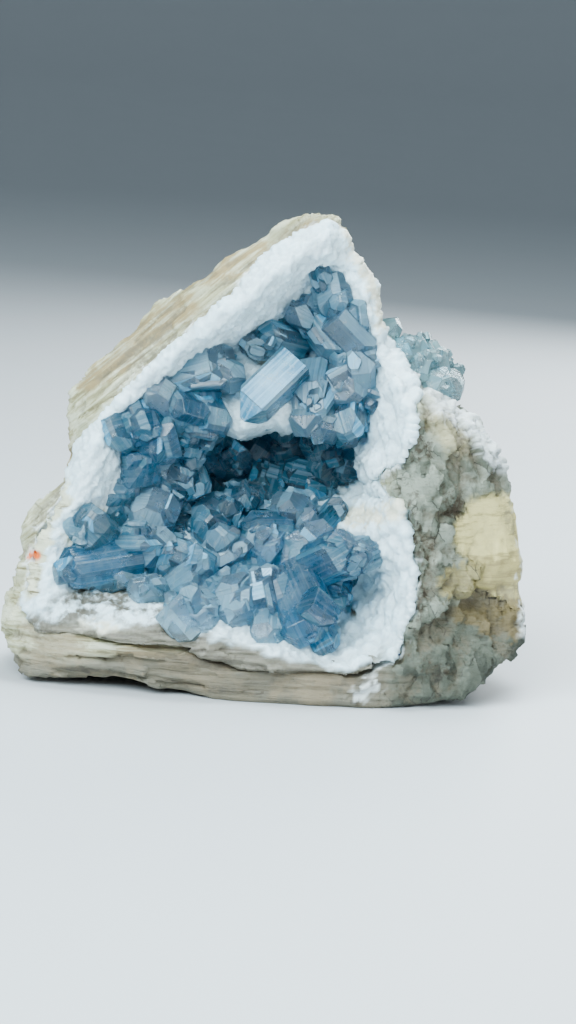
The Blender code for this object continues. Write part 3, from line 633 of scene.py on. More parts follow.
lining = {
    "voxel": 0.435,
    "smoothing": 6,
    "swell": 0.35,
    "edgeSwell": 0.65,
    "ledgeLine": ((-17, 45.5), (-9, 44), (1, 44.5)),  # lower edge of the ledge under the pale prism
    "ledgeReach": 3.5,
    "ledgeWave": 2.2,  # how far up and down that edge wanders
    "knobHeight": 1.5,
    "beadHeight": 0.35,
    "grainHeight": 0.14,
    "colour": (0.71, 0.87, 0.935),
    "shadowColour": (0.60, 0.69, 0.72),
    "creamColour": (0.72, 0.68, 0.52),
    "dirtAndShadeColour": (0.16, 0.15, 0.12),
    # below this line of (x, z) and left of the next one the white has flaked off down to layered stone
    "soleLine": ((-48, 10.3), (-42.6, 10.6), (-33.6, 10.5), (-24.6, 12), (-15.4, 10.7), (-6.3, 8.7),
                 (3, 7), (7.5, 6.2), (10, 7.4), (14.3, 11.5)),
    "flankLine": ((-50, 12), (-47, 15), (-45.4, 18), (-44.4, 23.3), (-43.5, 27), (-41.5, 31), (-42, 36)),
    "flakeDepth": 0.5,
    "roughness": (0.15, 0.65),  # of the sugar's grains
    "glow": 0.35,
    "ior": 1.53,
    # cream and ochre stains
    "cream": [(1.5, (-9, 56), (-7.5, 54.5)), (1.1, (3.2, 79), (5, 75), (8.8, 68.5), (10.3, 63)),
              (2, (-40, 24), (-36, 27)), (1, (6, 29.5), (11, 31.5)), (1.5, (13.5, 33), (16, 36)),
              (2, (-39, 10), (-30, 9.5))],
    # dark dust and painted shade in the hollows under the left crystals, and two small black specks in the
    # bowl
    "dirtAndShade": [(2.6, (-41, 13), (-33, 16), (-26, 13)), (2, (-46, 10), (-38, 8)), (0.5, (7.5, 14.4)),
             (0.5, (8, 13))],
}


def makeLining():
    obj = fineCopy("white_druse", "whiteLining", lining["voxel"], lining["smoothing"])
    mesh = obj.data
    points, normals = pointsOf(mesh), normalsOf(mesh)
    x, y, z = (points / mm).T
    # the skin's edge closes on the stone
    swell = lining["swell"] + lining["edgeSwell"] * soften(1.6 - distancesTo(stoneSurface, points))
    # rounded beads in the lower right bowl and along the right, a sugary skin elsewhere
    beaded = soften((x + 2) / 8)
    knobs, beads = cells(points, 2.9), cells(points, 0.95, shift=4.0)
    lift = lining["knobHeight"] * (0.35 - knobs * knobs * 1.3) * (0.25 + 0.75 * beaded)
    lift += lining["beadHeight"] * (0.4 - beads) * 1.6
    lift += lining["grainHeight"] * 2 * cloud(points, 0.5, 2)
    lift += 0.5 * cloud(turned(points, 45), 1.5, 3, (3, 1, 1)) * (1 - beaded)
    hollow = soften(0.5 - 1.6 * lift)
    lift += swell
    ragged = cloud(points, 2.5, 3, (2, 1, 1))
    sole = soften(np.interp(x, *zip(*lining["soleLine"])) - z + 0.5 + ragged) * soften((15 - x) / 4)
    columns, rows = zip(*lining["flankLine"])
    flank = soften((np.interp(z, rows, columns) - x) / 1.2 + 0.5 + 1.5 * ragged) * soften((35 - z) / 3)
    bare = np.maximum(sole, flank)
    lift = lift * (1 - bare) + (0.35 + layerLift(points) - lining["flakeDepth"]) * bare
    onLedge = strokeMask(points, [(lining["ledgeReach"], *lining["ledgeLine"])])
    wave = lining["ledgeWave"] * cloud(points, 5, 2, (1, 40, 40), 8.0)
    points = points + normals * lift[:, None] * mm
    points[:, 2] += wave * onLedge * mm
    points = keepInBox(points)
    setPoints(mesh, points)
    storeMasks(mesh, {
        "cream": strokeMask(points, lining["cream"], cloud(points, 1.2, 3)),
        "dirtAndShade": strokeMask(points, lining["dirtAndShade"], cloud(points, 1.0, 3) * 0.6),
        "hollow": hollow,
        "spot": strokeMask(points, stoneStains["spot"]),
        "sole": sole,
        "flank": flank,
    })
    mesh.shade_smooth()
    obj.data.materials.append(liningMaterial())
    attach(obj, "root")
    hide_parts("white_druse")
    print("white lining made,", len(mesh.polygons), "faces")


def liningMaterial():
    made, tree, shader, place = newMaterial("sugary white lining")
    sugar = noiseNode(place, 2200.0, 3.0, 0.6)
    patches = noiseNode(place, 260.0, 4.0)
    # the layered stone shows where the white has flaked off
    level = addNode(tree, "ShaderNodeMapping", None, Vector=place, Scale=(60, 250, 1000)).outputs["Vector"]
    fibre = noiseNode(level, 1.0, 6.0, 0.7)
    flank = mixNode(rampNode(fibre, 0.36, 0.5), stoneColours["fibreDark"], stoneColours["pale"])
    # at the bottom the flaked-off places take the bottom's colours, painted shade included
    sole = mixNode(rampNode(fibre, 0.40, 0.58), stoneColours["footDark"], stoneColours["footPale"])
    white = lining["colour"]
    colour = mixNode(rampNode(patches, 0.35, 0.7), white, times(white, [0.95] * 3))
    # hollow paints shade into the lining's dips; dirtAndShade is dust with painted shade under the left
    # crystals
    coats = [("hollow", 0.6, lining["shadowColour"]), ("cream", 0.8, lining["creamColour"]),
             ("dirtAndShade", rampNode(patches, 0.38, 0.54), lining["dirtAndShadeColour"]), ("flank", 1.0, flank),
             ("sole", 1.0, sole), ("spot", 1.0, stoneColours["spot"])]
    for name, share, coat in coats:  # each over the ones before it
        colour = mixNode(product(maskNode(tree, name), share), colour, coat)
    plug(shader, Base_Color=colour, Roughness=rangeNode(sugar, *lining["roughness"]),
         Normal=bumpNode(sugar, 0.2, 0.9), IOR=lining["ior"], Subsurface_Weight=lining["glow"],
         Subsurface_Radius=(0.9, 1.0, 1.1), Subsurface_Scale=1.0 * mm)
    return made


makeLining()


# The blue crystals

crystals = {
    "seed": 11,  # the named crystals take their angles from it, in their order
    "rootRise": 0.8,  # how deep under the lining's lumps a named crystal's place is measured
    "bevel": 0.07,
    "backCover": 1.8,  # how much stone is left behind the deepest roots
    "middling": 85,  # how many crystals of the next size grow between the named ones
    "middlingLength": (5, 9),
    "small": 45,
    "smallLength": (2.4, 4.2),
    "coreVoxel": 0.8,
    "coreShrink": 0.6,
    "coreShift": 0.8,  # the grown-together roots lie this much deeper than the solid's face
    "coreSteps": 1.3,  # height of the small facets on the roots
    "hero": ((-4, 56), (-12.5, 47), (-9, 43), (-2, 43.5)),  # line along the tall pale prism and its ledge
    "heroClear": 5.0,  # small crystals stay this far off it
    "heroReach": 5,  # the roots are pushed back this close to it
    "heroHollow": 12,  # how far the roots are pushed back there
    "heroPrism": (0.90, 0.94),
    "heroDome": (0.58, 0.76),
    "bareSpots": [((-3, 12.6), 4.2), ((-37, 21), 3.5)],  # large ones that small ones stay off, and how far
    # how much of a bar the cuts leave, and how they lean in degrees: along its sides, then at its tip
    "prism": (0.66, 0.9),
    "dome": (0.56, 0.86),
    "prismLean": (36, 50),
    "domeLean": (34, 42),
    "endLean": (44, 54),
    "paleBands": 9,  # bands on each side of the middle of a pale face
    "bandShare": 1 / 24,  # of its length
    "bluerEnds": 1.1,
    "clearDull": 0.5,  # how frosted the clear ones are, as a share of the others
    "frostedFrom": 0.5,  # half of the faces are clear, most others frosted, and a few milky
    "milkyFrom": 0.93,
    "slabs": (0, 2),  # thinner crystals grown side by side with one, which give it steps
    "slabPrism": (0.8, 0.95),
    "slabDome": (0.6, 0.92),
    "slabEdge": 0.7,  # their bevel, and that of smaller crystals, as a share of a large one's
    "smallEdge": 0.8,
    "alike": 0.75,  # share of the smaller crystals that lie nearly like the named one beside them
    "alikeScatter": 0.22,
    "rootShare": (0.18, 0.4),  # how much of a smaller crystal's length is sunk in the roots
    # the recess, where the blue is deepened, partly as painted shade
    "recess": ((-25, 36.5), (0, 38)),  # the dark recess, where the colour is deepest
    "recessReach": 13,
}

# The crystals one can name. Each row: (x, z) of its middle, how far it stands in front of the lining, long
# axis, flat-face normal, (length, width, thickness), and for some how blue it is and its finish: pale ones
# have a pale, finely lined flat face, clear ones look darkest. Axes are (right, back, up) directions.
namedCrystals = [
    # upper left mass
    ((-20.5, 54), 2.5, (0.9, -0.25, 0.35), (-0.25, -0.9, 0.35), (13, 8, 7), 0.4),
    ((-27.5, 49), 2, (0.5, -0.8, 0.3), (-0.6, -0.5, 0.6), (9, 8, 7), 0.1),
    ((-23.5, 46.5), 3, (0.3, -0.9, -0.2), (-0.2, -0.2, 0.95), (9, 7, 6), 0.6),
    ((-31, 44), 2.5, (-0.3, -0.9, 0.2), (0.8, -0.3, 0.5), (10, 9, 8)),
    ((-20.5, 48.5), 2.5, (0.5, -0.8, -0.3), (0.2, -0.3, 0.9), (8, 7, 5), 0.8),
    ((-28, 40.5), 2.5, (0.1, -0.9, -0.4), (0.9, 0.1, 0.3), (10, 9, 8)),
    ((-22.5, 41), 3, (0.4, -0.85, -0.3), (0.3, -0.2, 0.9), (9, 8, 6)),
    ((-24, 36), 3, (0.3, -0.9, -0.4), (-0.3, -0.5, 0.8), (9, 8, 7)),
    ((-30, 36), 2, (0.4, -0.9, 0.1), (-0.1, -0.1, 1), (8, 7, 6)),
    # the tall pale prism on the white ledge
    ((-8.9, 51.1), 5.2, (-0.66, -0.32, -0.68), (-0.12, -0.88, 0.45), (14.2, 6.3, 5.8), 0.4, "hero"),
    # upper right cluster
    ((1.5, 67.5), 2, (-0.1, -0.9, 0.4), (0.9, -0.1, 0.3), (9, 8, 6), 0.6),
    ((-2.5, 64), 2, (-0.4, -0.8, 0.4), (0.3, 0.3, 0.9), (8, 7, 6)),
    ((4.5, 63.5), 2, (-0.2, -0.95, 0.1), (0.9, -0.2, 0.2), (8, 7, 7)),
    ((-8, 59), 3, (-0.7, -0.6, 0.2), (-0.1, -0.5, 0.85), (9, 7, 6), None, "pale"),
    ((1.8, 59.2), 4.5, (0.62, -0.35, -0.7), (0.3, -0.85, 0.4), (9, 6, 8), None, "pale"),
    ((6, 57.5), 3, (0.3, -0.9, -0.2), (-0.2, -0.2, 0.95), (9, 8, 7)),
    ((3.5, 52.5), 4, (0.1, -0.9, -0.4), (0.8, -0.1, 0.5), (10, 8, 7)),
    ((-1.5, 51.5), 4, (-0.1, -0.8, -0.6), (0.9, -0.2, 0.2), (9, 6, 6)),
    ((8, 51), 3, (-0.2, -0.9, -0.3), (0.2, -0.3, 0.9), (9, 8, 6)),
    ((5, 47), 3, (-0.1, -0.85, -0.5), (0.9, 0, 0.3), (9, 8, 7)),
    # dark recess
    ((-17, 38.5), 2.5, (0.2, -0.9, -0.3), (0.8, -0.1, 0.6), (10, 8, 7)),
    ((-11, 37), 2.5, (0.1, -0.95, 0.1), (0.5, 0, 0.85), (10, 9, 8)),
    ((-4.5, 39), 2.5, (-0.2, -0.9, -0.2), (0.9, -0.2, 0.3), (11, 9, 7)),
    ((2, 40.5), 3, (-0.1, -0.9, -0.3), (0.8, 0.1, 0.5), (11, 9, 8)),
    ((-8, 32.5), 2.5, (0.1, -0.9, 0.5), (0.9, 0, -0.2), (10, 8, 7)),
    ((0.5, 33.5), 3, (-0.3, -0.85, 0.4), (0.9, -0.2, 0.3), (11, 9, 8)),
    ((6.5, 37.5), 2.5, (-0.4, -0.9, 0.1), (0.2, -0.2, 0.95), (9, 7, 6), None, "pale"),
    # shelf, left to right
    ((-37.5, 25.5), 3, (-0.4, -0.7, 0.6), (-0.6, -0.3, -0.75), (10, 8, 7), 0.8, "pale"),
    ((-36, 20.5), 4, (-0.93, -0.35, -0.15), (0, -0.5, 0.87), (14, 8, 6), 1.0, "clear"),
    ((-30, 23), 3.5, (0.1, -0.75, 0.65), (0.95, -0.1, 0.2), (8, 7, 6), 0.7, "pale"),
    ((-27.5, 27.5), 2.5, (0.2, -0.8, 0.6), (0.9, 0, -0.3), (11, 10, 8), 0.2),
    ((-24, 21.5), 3.5, (0.2, -0.5, 0.85), (0.3, -0.8, -0.5), (8, 8, 5), 0.6, "pale"),
    ((-27.5, 16.5), 2, (-0.2, -0.7, 0.7), (0.1, -0.7, -0.7), (7, 6, 5), 0.0),
    ((-20, 19.5), 3.5, (0.6, -0.6, 0.5), (0.1, -0.7, 0.7), (10, 8, 6), None, "pale"),
    ((-17, 26.5), 3, (0, -0.7, 0.7), (0.7, -0.5, -0.5), (10, 9, 7)),
    ((-12.5, 29), 2.5, (0.2, -0.6, 0.8), (0.9, 0.2, -0.3), (9, 8, 7)),
    ((-14.5, 22), 4, (-0.2, -0.8, 0.5), (0.5, -0.4, -0.75), (9, 8, 6), 0.0),
    ((-18.5, 14.5), 2.5, (-0.3, -0.9, 0.1), (0.3, 0, 0.95), (8, 7, 6), 0.0),
    ((-12.5, 16), 3, (0.2, -0.9, 0.3), (0.9, 0.3, 0.2), (9, 8, 7), 0.1),
    ((-8.5, 24), 4, (0.3, -0.6, 0.75), (0.8, -0.2, -0.5), (10, 8, 6), 0.1),
    ((-3.5, 27.5), 3.5, (0.1, -0.6, 0.8), (0.9, 0.1, -0.2), (11, 9, 8), 0.35),
    ((-1.5, 23.5), 4, (0.4, -0.8, 0.3), (0.3, -0.3, 0.9), (9, 8, 7)),
    ((3.5, 29), 2.5, (0.5, -0.5, 0.7), (-0.5, -0.8, 0.2), (8, 5, 4)),
    ((-6, 17), 3, (-0.1, -0.9, 0.3), (0.8, -0.3, 0.5), (9, 8, 7), 0.5),
    ((3.5, 23), 3.5, (0.7, -0.6, 0.3), (-0.2, -0.6, 0.75), (12, 8, 7), 0.9),
    ((8.5, 24.5), 3, (0.6, -0.75, 0.2), (-0.1, -0.3, 0.95), (8, 7, 6), 0.8),
    ((-1, 15), 4.5, (0.35, -0.75, -0.55), (-0.3, -0.75, 0.6), (15, 11, 9), 1.0, "clear"),
    ((3, 17), 2.5, (0.7, -0.6, -0.4), (0.4, -0.1, 0.9), (9, 8, 6), 1.0, "clear"),
    ((-6.5, 12), 1.5, (0, -0.8, -0.5), (0.9, 0, 0.3), (7, 6, 5), 0.6),
    # over both ends of the white ledge
    ((-1.5, 46.3), 2.5, (-0.2, -0.8, -0.6), (0.9, -0.2, 0.2), (8, 6, 6), 0.4),
    ((1.5, 46), 2.5, (0.1, -0.85, -0.5), (0.3, -0.3, 0.9), (8, 7, 6), 0.7),
    ((-18.5, 46), 2.5, (0.3, -0.85, -0.4), (0.3, -0.2, 0.9), (8, 7, 6), 0.7),
]


def crystalFrame(place, axis, face):
    x = Vector(axis).normalized()
    z = Vector(face)
    z = (z - x * z.dot(x)).normalized()
    turn = Matrix((x, z.cross(x), z)).transposed().to_4x4()
    return Matrix.Translation(place) @ turn


def everything(bm):
    return bm.verts[:] + bm.edges[:] + bm.faces[:]


def oneCrystal(place, size, rng, bevel, strength, prism=crystals["prism"], dome=crystals["dome"],
               paleFace=False, dull=1.0):
    # a bar along local x, cut by four prism faces and four dome faces, its edges lightly rounded
    sides = [side * mm for side in size]
    bm = bmesh.new()
    bmesh.ops.create_cube(bm, size=1.0)
    bmesh.ops.scale(bm, vec=sides, verts=bm.verts)

    def cut(normal, low, high):  # takes off what lies beyond this share of the bar
        reach = 0.5 * sum(side * abs(part) for side, part in zip(sides, normal))
        reach *= rng.uniform(low, high)
        bmesh.ops.bisect_plane(bm, geom=everything(bm), dist=1e-7, plane_co=normal * reach, plane_no=normal,
                               clear_outer=True)
        rim = [edge for edge in bm.edges if edge.is_boundary]
        if rim:
            bmesh.ops.contextual_create(bm, geom=rim)

    for side in (-1, 1):
        for tilt in (-1, 1):
            lean = math.radians(rng.uniform(*crystals["prismLean"]))
            cut(Vector((0, side * math.sin(lean), tilt * math.cos(lean))), *prism)
    for side in (-1, 1):
        lean = math.radians(rng.uniform(*crystals["domeLean"]))
        cut(Vector((math.sin(lean), side * math.cos(lean), 0)), dome[0], dome[1] - 0.08)
        lean = math.radians(rng.uniform(*crystals["endLean"]))
        cut(Vector((math.sin(lean), 0, side * math.cos(lean))), dome[0] + 0.04, dome[1])
    bmesh.ops.remove_doubles(bm, verts=bm.verts, dist=0.02 * mm)
    bmesh.ops.recalc_face_normals(bm, faces=bm.faces)
    flats = {face.normal.to_tuple(3) for face in bm.faces}
    bmesh.ops.bevel(bm, geom=bm.edges[:], offset=bevel * mm, segments=1, affect="EDGES", clamp_overlap=True)
    kept = bm.faces.layers.float.new("kept frost")
    for face in bm.faces:
        face[kept] = dull * rng.random() if face.normal.to_tuple(3) in flats else 0.0
        if paleFace and face.normal.z > 0.97:  # its flat face alone
            face[kept] = 1.0
    if paleFace:  # bands across it, which grow bluer towards its ends
        for k in range(-crystals["paleBands"], crystals["paleBands"] + 1):
            spot = (k * sides[0] * crystals["bandShare"], 0, 0)
            bmesh.ops.bisect_plane(bm, geom=everything(bm), dist=1e-7, plane_co=spot, plane_no=(1, 0, 0))
    frost = [face[kept] for face in bm.faces]
    bm.faces.layers.float.remove(kept)
    ends = [abs(face.calc_center_median().x) / sides[0] * 2 if paleFace else 0 for face in bm.faces]
    strength = [strength + crystals["bluerEnds"] * end * end for end in ends]
    bm.transform(place)
    mesh = bpy.data.meshes.new("one crystal")
    bm.to_mesh(mesh)
    bm.free()
    markFaces(mesh, frost, strength, place.to_3x3())
    return mesh


def steppedCrystal(place, size, rng, bevel, strength):
    # a crystal with a few thinner ones grown side by side with it
    found = [oneCrystal(place, size, rng, bevel, strength)]
    length, width, thickness = size
    for _ in range(rng.randint(*crystals["slabs"])):
        thin = (length * rng.uniform(0.8, 1.04), width * rng.uniform(0.6, 0.95),
                thickness * rng.uniform(0.2, 0.5))
        shift = Vector((rng.uniform(-0.05, 0.12) * length, rng.uniform(-0.25, 0.25) * width,
                        rng.uniform(-0.42, 0.42) * thickness)) * mm
        found.append(oneCrystal(place @ Matrix.Translation(shift), thin, rng, bevel * crystals["slabEdge"],
                                strength, crystals["slabPrism"], crystals["slabDome"]))
    return found


def markFaces(mesh, frost, strength, turn):
    # each face keeps how frosted it is, how strong its blue is and the direction across its growth lines
    across = np.cross(vectorsOf(mesh.polygons, "normal"), np.array(turn @ Vector((1, 0, 0))))
    ends = np.linalg.norm(across, axis=1) < 0.35
    across[ends] = np.array(turn @ Vector((0, 1, 0)))
    across /= np.linalg.norm(across, axis=1)[:, None]
    storeMasks(mesh, {"frost": frost, "strength": strength}, "FACE")
    lines = mesh.attributes.new("across", "FLOAT_VECTOR", "FACE")
    lines.data.foreach_set("vector", across.astype(np.float32).ravel())


def rayFront(surface, x, z):
    # the first point of a solid met from the front at (x, z) in metres, and its normal
    return surface.ray_cast(Vector((x, -0.1, z)), Vector((0, 1, 0)))[:2]


def unionAll(meshes, name):
    heap = bpy.data.collections.new(name + " pieces")
    objects = [bpy.data.objects.new("part", mesh) for mesh in meshes]
    first = linked(objects[0])
    for other in objects[1:]:
        heap.objects.link(other)
    bpy.context.scene.collection.children.link(heap)
    join = first.modifiers.new("join", "BOOLEAN")
    join.operation = "UNION"
    join.operand_type = "COLLECTION"
    join.collection = heap
    join.solver = "MANIFOLD"
    mesh = meshNow(first)
    for obj in objects:
        bpy.data.objects.remove(obj)
    bpy.data.collections.remove(heap)
    return linked(bpy.data.objects.new(name, mesh))


def keepInside(mesh):
    # no root comes out at the back of the thin stone
    points = pointsOf(mesh)
    for point in points:
        back = stoneSurface.ray_cast(Vector((point[0], 0.1, point[2])), Vector((0, -1, 0)))[0]
        if back is not None and back.y > 0:
            point[1] = min(point[1], back.y - crystals["backCover"] * mm)
    setPoints(mesh, points)


def crustCore():
    # the roots of the crystals, grown together into one rounded mass
    obj = fineCopy("celestite_crust", "core", crystals["coreVoxel"], 3)
    mesh = obj.data
    normals = normalsOf(mesh)
    points = pointsOf(mesh) - normals * crystals["coreShrink"] * mm
    behindHero = strokeMask(points, [(crystals["heroReach"], *crystals["hero"])])
    points += normals * (crystals["coreSteps"] * chips(points, 3.0, shift=2.0))[:, None] * mm
    points[:, 1] += (crystals["coreShift"] + crystals["heroHollow"] * behindHero) * mm
    setPoints(mesh, points)
    markFaces(mesh, 0.6, 0.6, Matrix.Identity(3))  # frosted and fairly blue
    bpy.data.objects.remove(obj)
    return mesh


def blueAt(x, z, rng, own):
    # how strong the blue is where a crystal has none of its own: deepest in the recess, partly as painted
    # shade there, palest at the rim
    deep = soften(1.6 - near(x, z, crystals["recess"]) / crystals["recessReach"] * 1.2)
    found = float(np.clip(0.18 + 0.82 * deep + rng.uniform(-0.25, 0.3), 0, 1))
    return found if own is None else own


def fullRow(row):  # the blue and the finish are None where a row leaves them out
    return (*row, None, None)[:7]


def namedMeshes():
    found = []
    shapeRng = random.Random(crystals["seed"])
    otherRng = random.Random(crystals["seed"] + 1)
    for (x, z), stand, axis, face, size, blue, finish in map(fullRow, namedCrystals):
        hit, _ = rayFront(liningSurface, x * mm, z * mm)
        y = hit.y + (crystals["rootRise"] - stand) * mm
        place = crystalFrame(Vector((x * mm, y, z * mm)), axis, face)
        strength = blueAt(x, z, otherRng, blue)
        if finish == "hero":
            found.append(oneCrystal(place, size, shapeRng, crystals["bevel"], strength,
                                    crystals["heroPrism"], crystals["heroDome"], paleFace=True))
            continue
        dull = crystals["clearDull"] if finish == "clear" else 1.0
        found.append(oneCrystal(place, size, shapeRng, crystals["bevel"], strength,
                                paleFace=finish == "pale", dull=dull))
        # only the steps beside it
        found += steppedCrystal(place, size, otherRng, crystals["bevel"], strength)[1:]
    return found


def scattered(rng, reach):
    return Vector([rng.uniform(-reach, reach) for _ in range(3)])


def smallSize(length, rng):
    return length, length * rng.uniform(0.6, 0.9), length * rng.uniform(0.45, 0.7)


def fillMeshes(count, lengths, rng):
    # smaller crystals between the named ones, most of them nearly parallel to the nearest
    found = []
    low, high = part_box("celestite_crust")
    others = [fullRow(row) for row in namedCrystals if row[-1] != "hero"]
    made = 0
    while made < count:
        x, z = rng.uniform(low.x, high.x), rng.uniform(low.z, high.z)
        hit, normal = rayFront(crustSurface, x, z)
        if hit is None or near(x / mm, z / mm, crystals["hero"][:3]) < crystals["heroClear"]:
            continue
        _, _, axis, face, _, blue, _ = min(others, key=lambda row: near(x / mm, z / mm, row[0]))
        strength = blueAt(x / mm, z / mm, rng, blue)
        length = rng.uniform(*lengths)
        reach = crystals["alikeScatter"]
        if rng.random() > crystals["alike"]:
            axis, face, reach = normal * 0.8, (0, 0, 0), 1.0
        axis = Vector(axis) + scattered(rng, reach)
        face = Vector(face) + scattered(rng, reach)
        size = smallSize(length, rng)
        place = hit - normal * length * rng.uniform(*crystals["rootShare"]) * mm
        made += 1
        edge = crystals["bevel"] * crystals["smallEdge"]
        grown = steppedCrystal(crystalFrame(place, axis, face), size, rng, edge, strength)
        if all(near(x / mm, z / mm, spot) > clear for spot, clear in crystals["bareSpots"]):
            found.append(grown)
    return [mesh for group in found for mesh in group]


def makeCrystals():
    rng = random.Random(crystals["seed"])
    meshes = [crustCore()] + namedMeshes()
    meshes += fillMeshes(crystals["middling"], crystals["middlingLength"], rng)
    meshes += fillMeshes(crystals["small"], crystals["smallLength"], rng)
    obj = unionAll(meshes, "blueCrystals")
    keepInside(obj.data)
    finishCrystals(obj, crystalMaterials("celestite", crystalLook), "celestite_crust")


def finishCrystals(obj, materials, node):
    mesh = obj.data
    setPoints(mesh, keepInBox(pointsOf(mesh)))
    mesh.materials.clear()
    for made in materials:
        mesh.materials.append(made)
    frost = np.zeros(len(mesh.polygons))
    mesh.attributes["frost"].data.foreach_get("value", frost)
    kind = (frost > crystals["frostedFrom"]).astype(np.int32) + (frost > crystals["milkyFrom"])
    mesh.polygons.foreach_set("material_index", kind.astype(np.int32))
    mesh.update()
    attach(obj, "root")
    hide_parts(node)
    print(obj.name, "made,", len(mesh.polygons), "faces")


crystalLook = {
    "ior": 1.62,
    "absorbColour": (0.08, 0.55, 0.75),
    "absorbDensity": 135,
    "strong": (0.19, 0.405, 0.51),  # the tint of the strongest blue, as a share of the pale one
    "greenish": (0.62, 0.82, 0.80),  # the tint of the greener clouds, as a share too
    "veils": (0.35, -0.35),  # how much bluer and paler the cloudy patches are
    "flaw": (0.86, 0.95, 0.98),
    # colour, transmission, roughness, then how strongly growth lines and grains are raised
    "clear": ((0.68, 0.85, 0.94), 0.90, (0.18, 0.42), 0.5, 0.15),
    "frosted": ((0.59, 0.84, 0.95), 0.72, (0.28, 0.5), 0.9, 0.5),
    "milky": ((0.45, 0.77, 0.98), 0.42, (0.3, 0.5), 1.0, 0.4),
}


def crystalMaterials(name, look):
    found = []
    for finish in ("clear", "frosted", "milky"):
        pale, transmission, roughness, raisedLines, raisedGrains = look[finish]
        made, tree, shader, place = newMaterial(name + " " + finish)
        lines = vectorNode("DOT_PRODUCT", place, maskNode(tree, "across", "Vector")).outputs["Value"]
        growth = addNode(tree, "ShaderNodeTexNoise", {"noise_dimensions": "1D"}, W=lines, Scale=1100.0,
                         Detail=3.0).outputs["Fac"]
        clouds = noiseNode(place, 350.0, 3.0)
        veils = noiseNode(place, 210.0, 4.0, 0.65)
        grains = noiseNode(place, 1500.0, 3.0, 0.65)
        # thin pale flaws along the middle height of a noise, in patches
        flaws = mathNode("SUBTRACT", noiseNode(place, 330.0, 4.0, 0.62), 0.5)
        flaws = rampNode(mathNode("ABSOLUTE", flaws, 0.0), 0.018, 0.0)
        flaws = product(flaws, rampNode(veils, 0.46, 0.58))
        blue = total(maskNode(tree, "strength"), rangeNode(veils, *look["veils"], 0.25, 0.75))
        tint = mixNode(blue, pale, times(pale, look["strong"]))
        tint = mixNode(product(rampNode(clouds, 0.52, 0.66), 0.45), tint, times(pale, look["greenish"]))
        tint = mixNode(product(rampNode(growth, 0.5, 0.62), 0.45), tint, pale)
        tint = mixNode(product(flaws, 0.7), tint, look["flaw"])
        normal = bumpNode(grains, 0.12, raisedGrains)
        normal = bumpNode(flaws, 0.15, 0.5, normal)
        normal = bumpNode(growth, 0.28, raisedLines, normal)
        plug(shader, Base_Color=tint, Roughness=rangeNode(clouds, *roughness, 0.3, 0.7), Normal=normal,
             Transmission_Weight=transmission, IOR=look["ior"])
        absorb = addNode(tree, "ShaderNodeVolumeAbsorption", None, Color=look["absorbColour"],
                         Density=look["absorbDensity"])
        plug(tree.nodes["Material Output"], Volume=absorb.outputs["Volume"])
        found.append(made)
    return found


makeCrystals()


# The pale crystals of the small pocket behind the right shoulder

sideCluster = {
    "seed": 5,
    "rootEnds": ((14.5, 2.5, 55.5), (20, 2, 50.5)),
    "rootRadius": 4,
    "rootReach": 6.5,
    "small": 60,
    "smallLength": (1.8, 3.4),
    "rootShare": (0.15, 0.35),
}
# middle, long axis, flat-face normal, then length, width and thickness
sideCrystals = [
    ((11.5, 1, 61), (0.2, -0.7, 0.7), (0.9, 0, 0.4), (7, 4, 3)),
    ((14.5, 0, 57.5), (0.1, -0.9, 0.4), (0.9, 0.2, 0.3), (7, 6, 5)),
    ((16, 3, 57.5), (0.3, -0.2, 0.9), (0.9, 0.2, -0.3), (7, 6, 5)),
    ((17, -2, 55), (0.2, -0.9, 0.5), (0.2, 0.5, 0.8), (7, 6, 5)),
    ((19, 2, 55.5), (0.55, -0.2, 0.8), (0.7, 0.3, -0.6), (8, 6, 5)),
    ((20, -2.5, 53), (0.5, -0.8, 0.4), (-0.4, 0.2, 0.9), (7, 6, 5)),
    ((21.5, 1, 52), (0.8, -0.3, 0.5), (0.4, 0.2, -0.9), (7, 6, 5)),
    ((20.5, 6, 52.5), (0.6, 0.4, 0.7), (0.8, -0.2, -0.5), (8, 7, 6)),
    ((15.5, 7, 56), (0.2, 0.5, 0.85), (0.9, 0.1, -0.3), (8, 7, 6)),
]
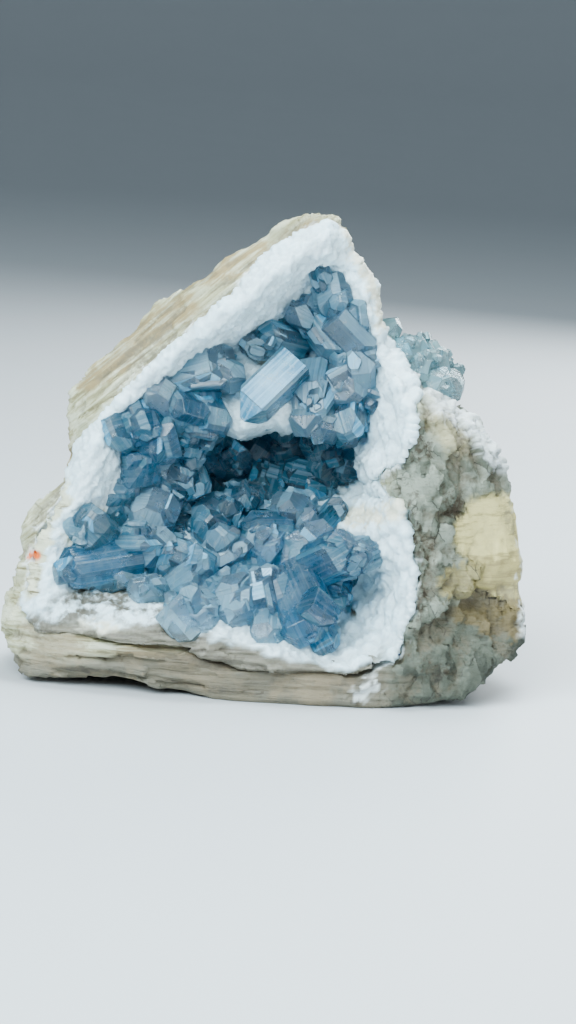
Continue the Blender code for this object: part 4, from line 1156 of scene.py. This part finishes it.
sideLook = {
    "ior": 1.62,
    "absorbColour": (0.45, 0.78, 0.86),
    "absorbDensity": 110,
    "strong": (0.45, 0.68, 0.74),
    "greenish": (0.85, 0.95, 0.88),
    "veils": (0.35, -0.35),
    "flaw": (0.9, 0.96, 0.96),
    "clear": ((0.68, 0.84, 0.87), 0.85, (0.12, 0.32), 0.4, 0.2),
    "frosted": ((0.49, 0.68, 0.72), 0.65, (0.25, 0.5), 0.7, 0.5),
    "milky": ((0.66, 0.79, 0.80), 0.4, (0.3, 0.6), 0.7, 0.5),
}


def makeSideCluster():
    rng = random.Random(sideCluster["seed"])
    start, end = (Vector(point) * mm for point in sideCluster["rootEnds"])
    middle = (start + end) / 2
    place = Matrix.Translation(middle) @ (end - start).to_track_quat("Z", "Y").to_matrix().to_4x4()
    radius, reach = sideCluster["rootRadius"] * mm, sideCluster["rootReach"] * mm
    bm = bmesh.new()
    bmesh.ops.create_icosphere(bm, subdivisions=3, radius=1.0,
                               matrix=place @ Matrix.Diagonal((radius, radius, reach, 1)))
    root = bpy.data.meshes.new("root")
    bm.to_mesh(root)
    bm.free()
    markFaces(root, 0.6, 0.3, Matrix.Identity(3))  # frosted and rather pale
    meshes = [root]
    for spot, axis, face, size in sideCrystals:
        spot = Vector(spot) * mm
        place = crystalFrame(spot, axis, face)
        meshes.append(oneCrystal(place, size, rng, crystals["bevel"], strength=0.4))
    surface = surfaceOf("celestite_side_cluster")
    made = 0
    while made < sideCluster["small"]:
        direction = Vector((rng.uniform(-1, 1), rng.uniform(-1, 1), rng.uniform(-0.4, 1))).normalized()
        hit, normal, _, _ = surface.ray_cast(middle + direction * 0.03, -direction)
        if hit is None:
            continue
        length = rng.uniform(*sideCluster["smallLength"])
        axis = normal + scattered(rng, 1) * 0.8
        face = scattered(rng, 1)
        size = smallSize(length, rng)
        spot = hit - normal * length * rng.uniform(*sideCluster["rootShare"]) * mm
        edge = crystals["bevel"] * crystals["slabEdge"]
        meshes.append(oneCrystal(crystalFrame(spot, axis, face), size, rng, edge, rng.uniform(0, 0.8)))
        made += 1
    obj = unionAll(meshes, "paleCrystals")
    finishCrystals(obj, crystalMaterials("pale celestite", sideLook), "celestite_side_cluster")


makeSideCluster()
